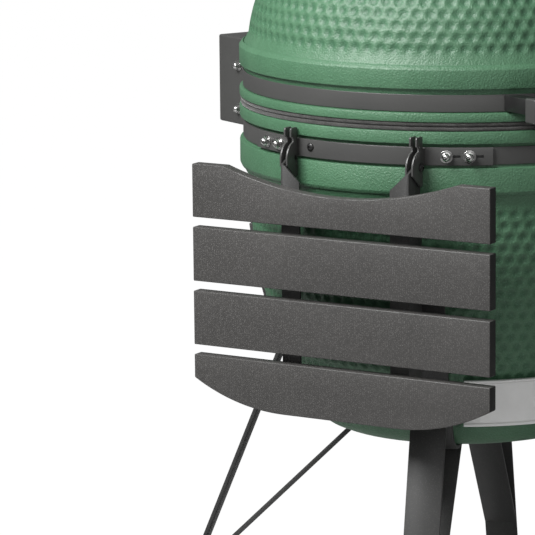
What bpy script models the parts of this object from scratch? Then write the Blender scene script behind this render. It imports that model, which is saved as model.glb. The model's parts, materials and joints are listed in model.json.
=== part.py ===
"""Egg-shaped ceramic charcoal grill on a four-legged stand, with two fold-down side shelves.

Metres, +Z up, the front of the grill towards -Y. The origin is on the ground, below the
middle of the grill's bounding box. Everything is placed from the centre of the base's rim,
where the lid meets the base.
"""

import math

import bmesh
import bpy
from mathutils import Vector

# ---------------------------------------------------------------- driving sizes
RIM_HEIGHT = 0.860          # ground to the top of the base's rim
TURN_STEPS = 40             # facets round every turned piece
SPIN_STEP = 6.0             # degrees of arc to a facet of a bent strip
TOUCH_GAP = 0.0003          # between pieces that rest on each other
RUN_GAP = 0.0003            # between a shaft and its hole
LAYER_GAP = 0.0012          # between faceted rings laid over each other

# ceramic base: the wall is an ellipse below a thicker rim
RIM_RADIUS = 0.2855
RIM_WALL = 0.035
BASE_RIM_DEPTH = 0.0750
BODY_RADIUS = RIM_RADIUS - 0.0100
BODY_CENTRE_Z = -0.0774
BODY_WALL = 0.026
BOWL_BOTTOM = 0.420         # rim to the flat bottom
BODY_DEPTH = BOWL_BOTTOM + 0.030    # vertical half axis of the outer ellipse
FOOTPRINT_RADIUS = RIM_RADIUS - 0.1355
FLOOR_THICKNESS = 0.028
FLOOR_RADIUS = RIM_RADIUS - 0.1455
RIM_STEP = 0.017            # height of the bevelled step from the rim to the wall

# bands in their channels
BAND_THICKNESS = 0.0015
BAND_OUTER = RIM_RADIUS - 0.0043
STRAP_THICKNESS = 0.0025
BASE_BAND_TOP = -0.0193
BASE_BAND_BOTTOM = -0.0415
BASE_CHANNEL_TOP = -0.0155
BASE_CHANNEL_BOTTOM = -0.0450

# gaskets between base and lid
GASKET_THICKNESS = 0.0050
GASKET_SPACE = 0.0007
GASKET_OUTER = RIM_RADIUS - 0.0015
GASKET_INNER = RIM_RADIUS - RIM_WALL + 0.0020

# ceramic lid
LID_BOTTOM = 2.0 * (GASKET_THICKNESS + TOUCH_GAP) + GASKET_SPACE
LID_RIM_TOP = 0.0754
LID_BAND_TOP = 0.0448
LID_BAND_BOTTOM = 0.0235
LID_CHANNEL_TOP = 0.0517
LID_CHANNEL_BOTTOM = 0.0225
DOME_RADIUS = RIM_RADIUS - 0.0110
DOME_CENTRE_Z = 0.0680
DOME_HEIGHT = 0.2340        # vertical half axis of the outer ellipse
DOME_WALL = 0.025
NECK_RADIUS = 0.0750
CHIMNEY_RADIUS = 0.0550
NECK_TOP = (DOME_CENTRE_Z + 0.02806
            + DOME_HEIGHT * math.sqrt(1.0 - ((NECK_RADIUS + 0.012) / DOME_RADIUS) ** 2))

# inside the bowl
FIREBOX_TOP = -0.1200
FIREBOX_TOP_RADIUS = RIM_RADIUS - 0.0705
FIREBOX_BASE_RADIUS = FIREBOX_TOP_RADIUS - 0.0790
FIREBOX_WALL = 0.0220
LEDGE_Z = 0.0900 - BOWL_BOTTOM
GRATE_LEDGE = 0.0200
FIRE_RING_TOP = -0.0300
FIRE_RING_RADIUS = RIM_RADIUS - RIM_WALL - 0.0105
FIRE_RING_WALL = 0.0180
COOKING_GRATE_RADIUS = FIRE_RING_RADIUS - 0.0080
COOKING_GRATE_THICKNESS = 0.0060
COOKING_SLOT = 0.0100
COOKING_BAR = 0.0080
CHARCOAL_GRATE_THICKNESS = 0.0080
CHARCOAL_SLOT = 0.0120
CHARCOAL_BAR = 0.0100
AIR_HOLE_RADIUS = 0.0090
AIR_HOLE_Z = 0.1300 - BOWL_BOTTOM

# draft door round the bottom of the bowl
DRAFT_BOTTOM = 0.0420 - BOWL_BOTTOM
DRAFT_TOP = DRAFT_BOTTOM + 0.0580
DRAFT_DEPTH = 0.0080         # its skin, outside the widest bowl behind it
DRAFT_HALF_ANGLE = 35.0
DRAFT_SHEET = 0.0015
DRAFT_WINDOW_HALF_ANGLE = 12.0
DRAFT_WINDOW_MARGIN = 0.0100
DRAFT_COVER_HALF_ANGLE = 12.6
DRAFT_TAB = 0.0085
DRAFT_TAB_ANGLE = -11.9
DRAFT_END_WALL = 2.0        # degrees of arc
DOOR_SHEET = 0.0010
DRAFT_OPENING_WIDTH = 0.080

# four-legged stand of flat bar
LEG_ANGLES = {"front_left": -45.0, "front_right": 45.0, "rear_left": -135.0, "rear_right": 135.0}
BAR_WIDTH = 0.0450
BAR_THICKNESS = 0.0050
RIB_TOP = -0.1650
LEG_LEAN = 0.403            # outwards per unit down
LEG_START_INSET = 0.0008    # centre line of a leg inside the bowl's surface where it starts
LEG_START_Z = -0.3180
BRACE_START_RADIUS = 0.1305
BRACE_LEAN = 1.024
CRADLE_INNER = 0.0850
CRADLE_THICKNESS = 0.0060
FOOT_HEIGHT = 0.0100
FOOT_WIDTH = 0.0520
FOOT_DEPTH = 0.0260

# side shelves, in a frame at the pivot: X outwards, Y along the shelf, Z up
SHELF_ANGLE = 64.0          # from the front to the direction a shelf faces
SHELF_OPEN_ANGLE = 90.0
PIVOT_RADIUS = math.sqrt(RIM_RADIUS ** 2 - 0.0885 ** 2) + 0.007563
PIVOT_Z = -0.0430
STRAP_HALF_ANGLE = 36.0
EAR_INNER = 0.0830          # inner faces of the two ears, along the shelf
EAR_OUTER = 0.0915
EAR_THICKNESS = 0.0025
EAR_INSIDE_X = -0.0045
EAR_ARC_RADIUS = 0.0208
EAR_BOTTOM = -0.0235
LUG_TOP = 0.0380
LUG_BOTTOM = 0.0265
LUG_OUT = 0.0105
NOTCH_DEPTH_X = 0.0045
BOLT_RADIUS = 0.0029
BOLT_HEAD_RADIUS = 0.0055
BOLT_HEAD_HEIGHT = 0.0036
ARM_WEB_Y = 0.0870
ARM_SHEET = 0.0030
ARM_FLANGE_END = 0.0640
ARM_END_RADIUS = 0.0068
ARM_INSIDE_X = -0.0050
ARM_LOWER_INSIDE_X = -0.0090
ARM_BOTTOM = -0.3020
ARM_TOP = -0.0060
FLANGE_FULL_Z = -0.0270
SLAT_BACK_X = 0.0250
SLAT_THICKNESS = 0.0160
SLAT_HALF_LENGTH = 0.2100
SLAT_WIDTH = 0.0690
SLAT_GAP = 0.0125
SLAT_TOP = -0.0110
TOP_SLAT_BOTTOM = -0.0787
TOP_ARC_HALF = 0.1640
TOP_ARC_DIP = 0.0283
BOTTOM_SLAT_FLAT_HALF = 0.0800
BOTTOM_SLAT_HEIGHT = 0.0650
BOTTOM_SLAT_END_HEIGHT = 0.0300
SLAT_EDGE = 0.0012

# lid hinge at the back
HINGE_Y = RIM_RADIUS + 0.0695
HINGE_Z = 0.0170
LID_OPEN_ANGLE = 75.0
HOUSING_HALF_WIDTH = 0.1130
HOUSING_BACK = HINGE_Y + 0.0515
HOUSING_FRONT = HINGE_Y - 0.0520
HOUSING_TOP = 0.0550
HOUSING_BOTTOM = -0.0640
HOUSING_SHEET = 0.0020
PIN_RADIUS = 0.0040
PIN_HEAD_RADIUS = 0.0075
PIN_HEAD_HEIGHT = 0.0050
COVER_BOLT_Z = -0.0420
YOKE_ARM_X = 0.0850
BRACKET_EAR_X = 0.0930
HINGE_PLATE = 0.0040
HINGE_EYE_RADIUS = 0.0100
HINGE_STRAP_HALF_ANGLE = 25.0
SPRING_RADIUS = 0.0095
SPRING_WIRE = 0.0014
SPRING_TURNS = 4
SPRING_START_X = 0.0300
SPRING_PITCH = 0.0060

# lid handle at the front
HANDLE_FRONT = RIM_RADIUS + 0.0445
HANDLE_DEPTH = 0.0200
HANDLE_BOTTOM = 0.0175
HANDLE_TOP = 0.0466
HANDLE_HALF_LENGTH = 0.1300
HANDLE_BRACKET_X = 0.1100
HANDLE_BRACKET_WIDTH = 0.0200

# thermometer in the lid
THERMOMETER_Z = DOME_CENTRE_Z + 0.0970
CASE_RADIUS = 0.0280
CASE_DEPTH = 0.0120
CASE_WALL = 0.0025
CASE_FLOOR = 0.0040
STEM_RADIUS = 0.0040
STEM_LENGTH = 0.0650
NEEDLE_LENGTH = 0.0190
NEEDLE_WIDTH = 0.0026
NEEDLE_THICKNESS = 0.0010

# top vent
VENT_WALL = 0.0040
VENT_OVERLAP = 0.0220       # how far the collar comes down the neck
VENT_PLATE = 0.0040
VENT_OPENING_RADIUS = 0.0450
VENT_PIVOT_Y = 0.0900
VENT_BOSS_RADIUS = 0.0090
VENT_PIN_RADIUS = 0.0040
SLIDE_RADIUS = 0.0720
SLIDE_PLATE = 0.0040
DAISY_RADIUS = 0.0540
DAISY_PLATE = 0.0025
PETALS = 5
PETAL_RADIUS = 0.0095
PETAL_CIRCLE = 0.0300
SLIDE_TAB_WIDTH = 0.0220
SLIDE_TAB_LENGTH = 0.0240
DAISY_KNOB_CIRCLE = 0.0440
DAISY_KNOB_RADIUS = 0.0040
DAISY_KNOB_HEIGHT = 0.0120


# ---------------------------------------------------------------- sizes that follow from others
def ellipse_radius(z, half_width, centre, half_height):
    return half_width * math.sqrt(max(0.0, 1.0 - ((z - centre) / half_height) ** 2))


def bowl_radius(z):
    """Radius of the outside of the ceramic base at a height."""
    return ellipse_radius(z, BODY_RADIUS, BODY_CENTRE_Z, BODY_DEPTH)


DRAFT_RADIUS = bowl_radius(DRAFT_TOP) + DRAFT_DEPTH
LEG_START_RADIUS = bowl_radius(LEG_START_Z) - LEG_START_INSET

# a brace runs out from under the bowl until it meets its leg
BRACE_GAIN = LEG_START_RADIUS + LEG_LEAN * LEG_START_Z - BRACE_START_RADIUS
BRACE_JOIN_Z = -(BRACE_GAIN + BRACE_LEAN * BOWL_BOTTOM) / (BRACE_LEAN - LEG_LEAN) - 0.0034

# the origin is under the middle of the bounding box, from the front feet to the hinge housing
FOOT_RADIUS = LEG_START_RADIUS + LEG_LEAN * (LEG_START_Z + RIM_HEIGHT - FOOT_HEIGHT)
FOOT_REACH = (FOOT_RADIUS + FOOT_DEPTH / 2.0 + FOOT_WIDTH / 2.0) * math.cos(math.radians(45.0))
AXIS_Y = (max(HANDLE_FRONT, FOOT_REACH) - HOUSING_BACK) / 2.0

# colour, metallic, roughness
FINISHES = {
    "green_ceramic": ((0.125, 0.260, 0.150), 0.0, 0.45),
    "grey_felt": ((0.085, 0.085, 0.082), 0.0, 0.95),
    "black_steel": ((0.045, 0.045, 0.046), 0.6, 0.45),
    "slat_board": ((0.120, 0.115, 0.112), 0.0, 0.55),
    "brushed_steel": ((0.55, 0.55, 0.54), 1.0, 0.35),
    "cast_iron": ((0.030, 0.030, 0.031), 0.7, 0.65),
    "fire_clay": ((0.52, 0.43, 0.33), 0.0, 0.9),
    "rubber": ((0.020, 0.020, 0.020), 0.0, 0.8),
}


# ---------------------------------------------------------------- scene helpers
def clear_scene():
    for thing in list(bpy.data.objects):
        bpy.data.objects.remove(thing, do_unlink=True)


def new_collection(name):
    group = bpy.data.collections.new(name)
    bpy.context.scene.collection.children.link(group)
    return group


def new_material(name):
    color, metallic, roughness = FINISHES[name]
    material = bpy.data.materials.new(name)
    material.use_nodes = True
    shader = material.node_tree.nodes["Principled BSDF"]
    shader.inputs["Base Color"].default_value = (*color, 1.0)
    shader.inputs["Metallic"].default_value = metallic
    shader.inputs["Roughness"].default_value = roughness
    return material


clear_scene()
PARTS = new_collection("ceramic_grill")
CUTTERS = new_collection("cutters")
MATERIALS = {name: new_material(name) for name in FINISHES}


def new_empty(name, location=(0.0, 0.0, 0.0), rotation=(0.0, 0.0, 0.0), parent=None):
    empty = bpy.data.objects.new(name, None)
    PARTS.objects.link(empty)
    empty.parent = parent
    empty.location = location
    empty.rotation_euler = rotation
    return empty


def place(thing, parent, location=(0.0, 0.0, 0.0), rotation=(0.0, 0.0, 0.0)):
    thing.parent = parent
    thing.location = location
    thing.rotation_euler = rotation
    return thing


def make_part(thing, finish, parent, location=(0.0, 0.0, 0.0), rotation=(0.0, 0.0, 0.0)):
    """Put a finished object among the parts, with its material."""
    thing.data.materials.clear()
    thing.data.materials.append(MATERIALS[finish])
    return place(thing, parent, location, rotation)


def make_cutter(thing, parent=None):
    """Turn an object into a hidden cutter."""
    PARTS.objects.unlink(thing)
    CUTTERS.objects.link(thing)
    thing.hide_render = True
    thing.display_type = "WIRE"
    if parent is not None:
        thing.parent = parent
    return thing


def object_from_bmesh(name, bm):
    mesh = bpy.data.meshes.new(name)
    bm.to_mesh(mesh)
    bm.free()
    thing = bpy.data.objects.new(name, mesh)
    PARTS.objects.link(thing)
    return thing


def apply_modifiers(thing):
    """Bake the modifiers of an object into its mesh."""
    bpy.context.view_layer.update()
    depsgraph = bpy.context.evaluated_depsgraph_get()
    old = thing.data
    mesh = bpy.data.meshes.new_from_object(thing.evaluated_get(depsgraph))
    thing.modifiers.clear()
    thing.data = mesh
    bpy.data.meshes.remove(old)
    return thing


def boolean(thing, other, operation):
    modifier = thing.modifiers.new(operation.lower(), "BOOLEAN")
    modifier.operation = operation
    modifier.object = other
    modifier.solver = "EXACT"
    return modifier


def join_to(thing, *others):
    """Union other objects into this one and remove them."""
    for other in others:
        boolean(thing, other, "UNION")
    apply_modifiers(thing)
    for other in others:
        bpy.data.objects.remove(other, do_unlink=True)
    return thing


def smooth_round(thing, angle=35.0):
    thing.data.shade_smooth()
    thing.data.set_sharp_from_angle(angle=math.radians(angle))
    return thing


# ---------------------------------------------------------------- shape helpers
def box(name, low, high):
    """A block between two corners, with its origin at the parent's origin."""
    bm = bmesh.new()
    bmesh.ops.create_cube(bm, size=1.0)
    low, high = Vector(low), Vector(high)
    bmesh.ops.scale(bm, vec=high - low, verts=bm.verts)
    bmesh.ops.translate(bm, vec=(high + low) / 2.0, verts=bm.verts)
    return object_from_bmesh(name, bm)


def cylinder(name, radius, bottom, top, centre=(0.0, 0.0), segments=24):
    bm = bmesh.new()
    bmesh.ops.create_cone(bm, cap_ends=True, segments=segments, radius1=radius,
                          radius2=radius, depth=top - bottom)
    bmesh.ops.translate(bm, vec=(centre[0], centre[1], (top + bottom) / 2.0), verts=bm.verts)
    return object_from_bmesh(name, bm)


def turned(name, profile, closed=True, steps=TURN_STEPS):
    """A profile of (radius, z) points, down its outer side, screwed round Z."""
    mesh = bpy.data.meshes.new(name)
    points = [(radius, 0.0, z) for radius, z in profile]
    edges = [(i, i + 1) for i in range(len(points) - 1)]
    if closed:
        edges.append((len(points) - 1, 0))
    mesh.from_pydata(points, edges, [])
    thing = bpy.data.objects.new(name, mesh)
    PARTS.objects.link(thing)
    screw = thing.modifiers.new("turn", "SCREW")
    screw.steps = steps
    screw.render_steps = steps
    screw.use_merge_vertices = True
    screw.merge_threshold = 0.00001
    screw.use_smooth_shade = True
    return thing


def bent_strip(name, section, start, end):
    """A closed (radius, z) section swept round Z between two angles from the front."""
    bm = bmesh.new()
    turn = math.radians(start - 90.0)
    ring = [bm.verts.new((radius * math.cos(turn), radius * math.sin(turn), z))
            for radius, z in section]
    face = bm.faces.new(ring)
    steps = max(1, math.ceil((end - start) / SPIN_STEP))
    geometry = [face, *face.edges, *face.verts]
    bmesh.ops.spin(bm, geom=geometry, cent=(0, 0, 0), axis=(0, 0, 1),
                   angle=math.radians(end - start), steps=steps)
    bmesh.ops.remove_doubles(bm, verts=bm.verts, dist=0.000001)
    bmesh.ops.recalc_face_normals(bm, faces=bm.faces)
    return object_from_bmesh(name, bm)


def plate(name, outline, thickness, holes=()):
    """A flat outline in the XY plane, as thick as asked, centred on it, made a mesh."""
    data = bpy.data.curves.new(name, "CURVE")
    data.dimensions = "2D"
    data.fill_mode = "BOTH"
    data.extrude = thickness / 2.0
    for points in (outline, *holes):
        spline = data.splines.new("POLY")
        spline.points.add(len(points) - 1)
        for point, (x, y) in zip(spline.points, points):
            point.co = (x, y, 0.0, 1.0)
        spline.use_cyclic_u = True
    return mesh_from_curve(name, data)


def mesh_from_curve(name, data):
    """A closed mesh object from curve data, with its caps welded."""
    curve = bpy.data.objects.new(name + "_curve", data)
    PARTS.objects.link(curve)
    bpy.context.view_layer.update()
    depsgraph = bpy.context.evaluated_depsgraph_get()
    mesh = bpy.data.meshes.new_from_object(curve.evaluated_get(depsgraph))
    bpy.data.objects.remove(curve, do_unlink=True)
    bm = bmesh.new()
    bm.from_mesh(mesh)
    bmesh.ops.remove_doubles(bm, verts=bm.verts, dist=0.000001)
    bmesh.ops.recalc_face_normals(bm, faces=bm.faces)
    bm.to_mesh(mesh)
    bm.free()
    mesh.name = name
    thing = bpy.data.objects.new(name, mesh)
    PARTS.objects.link(thing)
    return thing


def transform_mesh(thing, location=(0.0, 0.0, 0.0), rotation=(0.0, 0.0, 0.0)):
    """Move the mesh itself, so the object's origin stays on its joint's axis."""
    place(thing, None, location, rotation)
    thing.data.transform(thing.matrix_basis)
    place(thing, None)
    return thing


def upright(thing, side=0.0):
    """Turn a plate so its outline's X and Y become X and Z, at this distance along Y."""
    return transform_mesh(thing, (0.0, side, 0.0), (math.pi / 2.0, 0.0, 0.0))


def arc(centre, radius, start, end, count):
    """Points on a circle from one angle to another, in degrees."""
    points = []
    for i in range(count):
        turn = math.radians(start + (end - start) * i / (count - 1))
        points.append((centre[0] + radius * math.cos(turn), centre[1] + radius * math.sin(turn)))
    return points


def circle(centre, radius, count=12):
    return arc(centre, radius, 0.0, 360.0, count + 1)[:-1]


def bowl_outline(top):
    """Points down the outside of the bowl, from a height to the edge of its flat bottom."""
    rows = 7
    shoulder = -BOWL_BOTTOM + 0.022
    points = []
    for i in range(rows):
        z = top + (shoulder - top) * i / (rows - 1)
        points.append((bowl_radius(z), z))
    turn_in = bowl_radius(shoulder) - FOOTPRINT_RADIUS
    points.append((FOOTPRINT_RADIUS + 0.82 * turn_in, -BOWL_BOTTOM + 0.012))
    points.append((FOOTPRINT_RADIUS + 0.45 * turn_in, -BOWL_BOTTOM + 0.0035))
    points.append((FOOTPRINT_RADIUS, -BOWL_BOTTOM))
    return points


def shifted(path, distance):
    """A path moved sideways by a distance, mitred at its bends."""
    moved = []
    for i, point in enumerate(path):
        here = Vector(point)
        before = (here - Vector(path[i - 1])).normalized() if i > 0 else None
        after = (Vector(path[i + 1]) - here).normalized() if i < len(path) - 1 else None
        before = before or after
        after = after or before
        normal = Vector((-before.y - after.y, before.x + after.x)).normalized()
        reach = distance / normal.dot(Vector((-before.y, before.x)))
        moved.append(tuple(here + normal * reach))
    return moved


def bar_outline(path, thickness):
    """The outline of a bent bar from its centre line."""
    return shifted(path, thickness / 2.0) + shifted(path, -thickness / 2.0)[::-1]


# ---------------------------------------------------------------- ceramic shells
def make_base_bowl(rim):
    inner_radius = RIM_RADIUS - RIM_WALL
    step_top = -BASE_RIM_DEPTH
    step_bottom = step_top - RIM_STEP
    floor = -BOWL_BOTTOM + FLOOR_THICKNESS
    channel = BAND_OUTER - BAND_THICKNESS - TOUCH_GAP
    inner = []
    rows = 4
    for i in range(rows):
        z = floor + 0.032 + (step_bottom - floor - 0.032) * i / (rows - 1)
        inner.append((bowl_radius(z) - BODY_WALL, z))
    low_wall = inner[0][0]
    inner[:0] = [(0.0, floor), (FLOOR_RADIUS, floor), ((FLOOR_RADIUS + low_wall) / 2.0 + 0.006,
                                                       floor + 0.012)]
    rim_outline = [
        (inner_radius, step_top), (inner_radius, 0.0), (RIM_RADIUS - 0.003, 0.0),
        (RIM_RADIUS, -0.003), (RIM_RADIUS, BASE_CHANNEL_TOP), (channel, BASE_CHANNEL_TOP),
        (channel, BASE_CHANNEL_BOTTOM), (RIM_RADIUS, BASE_CHANNEL_BOTTOM),
        (RIM_RADIUS, step_top), (RIM_RADIUS - 0.0025, step_top - 0.005),
    ]
    outer = bowl_outline(step_bottom) + [(0.0, -BOWL_BOTTOM)]
    bowl = turned("base_bowl", inner + rim_outline + outer, closed=False)
    half = DRAFT_OPENING_WIDTH / 2.0
    opening = box("draft_opening_cutter", (-half, -DRAFT_RADIUS, DRAFT_BOTTOM + DRAFT_WINDOW_MARGIN),
                  (half, -FLOOR_RADIUS, DRAFT_TOP - DRAFT_WINDOW_MARGIN))
    boolean(bowl, make_cutter(opening, rim), "DIFFERENCE")
    return make_part(bowl, "green_ceramic", rim)


def make_lid_dome(lid):
    inner_radius = RIM_RADIUS - RIM_WALL
    channel = BAND_OUTER - BAND_THICKNESS - TOUCH_GAP
    outer = []
    rows = 7
    low = math.asin((LID_RIM_TOP + 0.016 - DOME_CENTRE_Z) / DOME_HEIGHT)
    high = math.acos((NECK_RADIUS + 0.012) / DOME_RADIUS)
    for i in range(rows):
        turn = high + (low - high) * i / (rows - 1)
        outer.append((DOME_RADIUS * math.cos(turn), DOME_CENTRE_Z + DOME_HEIGHT * math.sin(turn)))
    neck_foot = outer[0][1] + 0.008
    rim_outline = [
        (RIM_RADIUS - 0.005, LID_RIM_TOP + 0.0066), (RIM_RADIUS, LID_RIM_TOP),
        (RIM_RADIUS, LID_CHANNEL_TOP), (channel, LID_CHANNEL_TOP),
        (channel, LID_CHANNEL_BOTTOM), (RIM_RADIUS, LID_CHANNEL_BOTTOM),
        (RIM_RADIUS, LID_BOTTOM + 0.003), (RIM_RADIUS - 0.003, LID_BOTTOM),
        (inner_radius, LID_BOTTOM),
    ]
    inner = []
    rows = 5
    inner_width = DOME_RADIUS - DOME_WALL
    inner_height = DOME_HEIGHT - DOME_WALL
    for i in range(rows):
        turn = math.acos(CHIMNEY_RADIUS / inner_width) * i / (rows - 1)
        inner.append((inner_width * math.cos(turn), DOME_CENTRE_Z + inner_height * math.sin(turn)))
    neck = [(CHIMNEY_RADIUS, NECK_TOP), (NECK_RADIUS, NECK_TOP), (NECK_RADIUS, neck_foot)]
    dome = turned("lid_dome", neck + outer + rim_outline + inner)
    hole = cylinder("stem_hole_cutter", STEM_RADIUS + 2.0 * RUN_GAP, -STEM_LENGTH, CASE_DEPTH)
    transform_mesh(hole, thermometer_seat(), thermometer_tilt())
    boolean(dome, make_cutter(hole, lid), "DIFFERENCE")
    return dome


def make_gasket(name, parent, bottom, offset=(0.0, 0.0, 0.0)):
    top = bottom + GASKET_THICKNESS
    ring = turned(name, [(GASKET_OUTER, top), (GASKET_OUTER, bottom), (GASKET_INNER, bottom),
                         (GASKET_INNER, top)])
    return make_part(ring, "grey_felt", parent, offset)


def make_band(name, parent, bottom, top, offset=(0.0, 0.0, 0.0)):
    inner = BAND_OUTER - BAND_THICKNESS
    ring = turned(name, [(BAND_OUTER, top), (BAND_OUTER, bottom), (inner, bottom), (inner, top)])
    return make_part(ring, "black_steel", parent, offset)


# ---------------------------------------------------------------- inside the bowl
def make_firebox(rim):
    floor = -BOWL_BOTTOM + FLOOR_THICKNESS + TOUCH_GAP
    height = FIREBOX_TOP - floor
    shelf_radius = FIREBOX_BASE_RADIUS
    profile = [
        (FIREBOX_TOP_RADIUS - FIREBOX_WALL, FIREBOX_TOP), (FIREBOX_TOP_RADIUS, FIREBOX_TOP),
        (FIREBOX_TOP_RADIUS - 0.003, floor + 0.70 * height),
        (FIREBOX_TOP_RADIUS - 0.035, floor + 0.34 * height), (FIREBOX_BASE_RADIUS, floor),
        (FIREBOX_BASE_RADIUS - FIREBOX_WALL, floor),
        (shelf_radius - GRATE_LEDGE, LEDGE_Z), (shelf_radius, LEDGE_Z),
        (shelf_radius + 0.022, floor + 0.34 * height + 0.01),
        (FIREBOX_TOP_RADIUS - FIREBOX_WALL - 0.003, floor + 0.70 * height),
    ]
    pot = turned("firebox", profile)
    half = DRAFT_OPENING_WIDTH / 2.0
    mouth = box("firebox_mouth_cutter", (-half, -DRAFT_RADIUS, floor - 0.01),
                (half, -0.05, LEDGE_Z - 0.012))
    boolean(pot, make_cutter(mouth, rim), "DIFFERENCE")
    for i in range(3):
        drill = cylinder(f"air_hole_cutter_{i + 1}", AIR_HOLE_RADIUS, -DRAFT_RADIUS, DRAFT_RADIUS,
                         segments=10)
        transform_mesh(drill, (0.0, 0.0, AIR_HOLE_Z), (math.pi / 2.0, 0.0, math.radians(60.0 * i)))
        boolean(pot, make_cutter(drill, rim), "DIFFERENCE")
    return make_part(pot, "fire_clay", rim)


def make_fire_ring(rim):
    bottom = FIREBOX_TOP + TOUCH_GAP
    lower_outer = FIREBOX_TOP_RADIUS + 0.004
    profile = [
        (FIRE_RING_RADIUS - FIRE_RING_WALL, FIRE_RING_TOP), (FIRE_RING_RADIUS, FIRE_RING_TOP),
        (FIRE_RING_RADIUS, FIRE_RING_TOP - 0.030), (lower_outer, bottom),
        (FIREBOX_TOP_RADIUS - FIREBOX_WALL + 0.002, bottom),
        (FIRE_RING_RADIUS - FIRE_RING_WALL, FIRE_RING_TOP - 0.034),
    ]
    return make_part(turned("fire_ring", profile), "fire_clay", rim)


def make_grate(name, radius, bottom, thickness, slot, bar, rim_width, finish, rim):
    """A round grate: a disc with a row of long slots that stop short of its rim."""
    inside = radius - rim_width
    count = int((2.0 * inside + bar) / (slot + bar))
    if count % 2 == 0:
        count -= 1
    holes = []
    for i in range(count):
        y = (i - count // 2) * (slot + bar)
        reach = math.sqrt(inside ** 2 - (abs(y) + slot / 2.0) ** 2)
        holes.append([(-reach, y - slot / 2.0), (reach, y - slot / 2.0),
                      (reach, y + slot / 2.0), (-reach, y + slot / 2.0)])
    disc = plate(name, circle((0.0, 0.0), radius, TURN_STEPS), thickness, holes)
    transform_mesh(disc, (0.0, 0.0, bottom + thickness / 2.0))
    return make_part(disc, finish, rim)


# ---------------------------------------------------------------- draft door
def make_draft_frame(rim):
    """A bent steel channel round the front of the bowl, with a window in its skin."""
    rows = 5
    hugging = []
    for i in range(rows):
        z = DRAFT_BOTTOM + (DRAFT_TOP - DRAFT_BOTTOM) * i / (rows - 1)
        hugging.append((bowl_radius(z) + LAYER_GAP, z))
    section = hugging + [(DRAFT_RADIUS, DRAFT_TOP), (DRAFT_RADIUS, DRAFT_BOTTOM)]
    frame = bent_strip("draft_frame", section, -DRAFT_HALF_ANGLE, DRAFT_HALF_ANGLE)
    inside = bowl_radius(DRAFT_BOTTOM) - 0.02
    skin = DRAFT_RADIUS - DRAFT_SHEET
    low = DRAFT_BOTTOM + DRAFT_SHEET
    high = DRAFT_TOP - DRAFT_SHEET
    track_inner = skin - 2.0 * DOOR_SHEET - 3.0 * LAYER_GAP
    lap = track_inner + LAYER_GAP
    shelf = 0.0005
    hollow = bent_strip("draft_hollow_cutter",
                        [(inside, low + shelf), (inside, high - shelf), (lap, high - shelf),
                         (lap, low + shelf)],
                        -DRAFT_HALF_ANGLE + 1.3 * DRAFT_END_WALL,
                        DRAFT_HALF_ANGLE - 1.3 * DRAFT_END_WALL)
    track = bent_strip("draft_track_cutter",
                       [(track_inner, low), (track_inner, high), (skin, high), (skin, low)],
                       -DRAFT_HALF_ANGLE + DRAFT_END_WALL, DRAFT_HALF_ANGLE - DRAFT_END_WALL)
    window_low = DRAFT_BOTTOM + DRAFT_WINDOW_MARGIN
    window_high = DRAFT_TOP - DRAFT_WINDOW_MARGIN
    outside = DRAFT_RADIUS + 0.01
    window = bent_strip("draft_window_cutter",
                        [(inside, window_low), (inside, window_high),
                         (outside, window_high), (outside, window_low)],
                        -DRAFT_WINDOW_HALF_ANGLE, DRAFT_WINDOW_HALF_ANGLE)
    for cutter in (hollow, track, window):
        boolean(frame, make_cutter(cutter, rim), "DIFFERENCE")
    return make_part(frame, "brushed_steel", rim)


def draft_sheet(name, outer_radius):
    """A bent sheet that covers the window from inside."""
    low = DRAFT_BOTTOM + DRAFT_SHEET + TOUCH_GAP
    high = DRAFT_TOP - DRAFT_SHEET - TOUCH_GAP
    inner = outer_radius - DOOR_SHEET
    section = [(inner, low), (inner, high), (outer_radius, high), (outer_radius, low)]
    return bent_strip(name, section, -DRAFT_COVER_HALF_ANGLE, DRAFT_COVER_HALF_ANGLE)


def draft_tab(outer_radius):
    """A finger tab that stands out of the door through the window."""
    half_height = 0.010
    middle = (DRAFT_BOTTOM + DRAFT_TOP) / 2.0
    root = outer_radius - DOOR_SHEET / 2.0
    tip = DRAFT_RADIUS + DRAFT_TAB
    section = [(root, middle - half_height), (root, middle + half_height),
               (tip, middle + half_height), (tip, middle - half_height)]
    return bent_strip("draft_tab", section, DRAFT_TAB_ANGLE, DRAFT_TAB_ANGLE + 1.0)


# ---------------------------------------------------------------- stand
def rib_path():
    """Centre line of a rib: down the bowl, under it, then out and down to the leg."""
    offset = TOUCH_GAP + LAYER_GAP + BAR_THICKNESS / 2.0
    under = -BOWL_BOTTOM - offset
    path = shifted(bowl_outline(RIB_TOP), offset)[:-1]
    path.append((FOOTPRINT_RADIUS, under))
    path.append((BRACE_START_RADIUS, under))
    drop = BRACE_JOIN_Z - 0.010 - under
    path.append((BRACE_START_RADIUS - BRACE_LEAN * drop, BRACE_JOIN_Z - 0.010))
    return path


def leg_radius(z):
    return LEG_START_RADIUS + LEG_LEAN * (LEG_START_Z - z)


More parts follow.
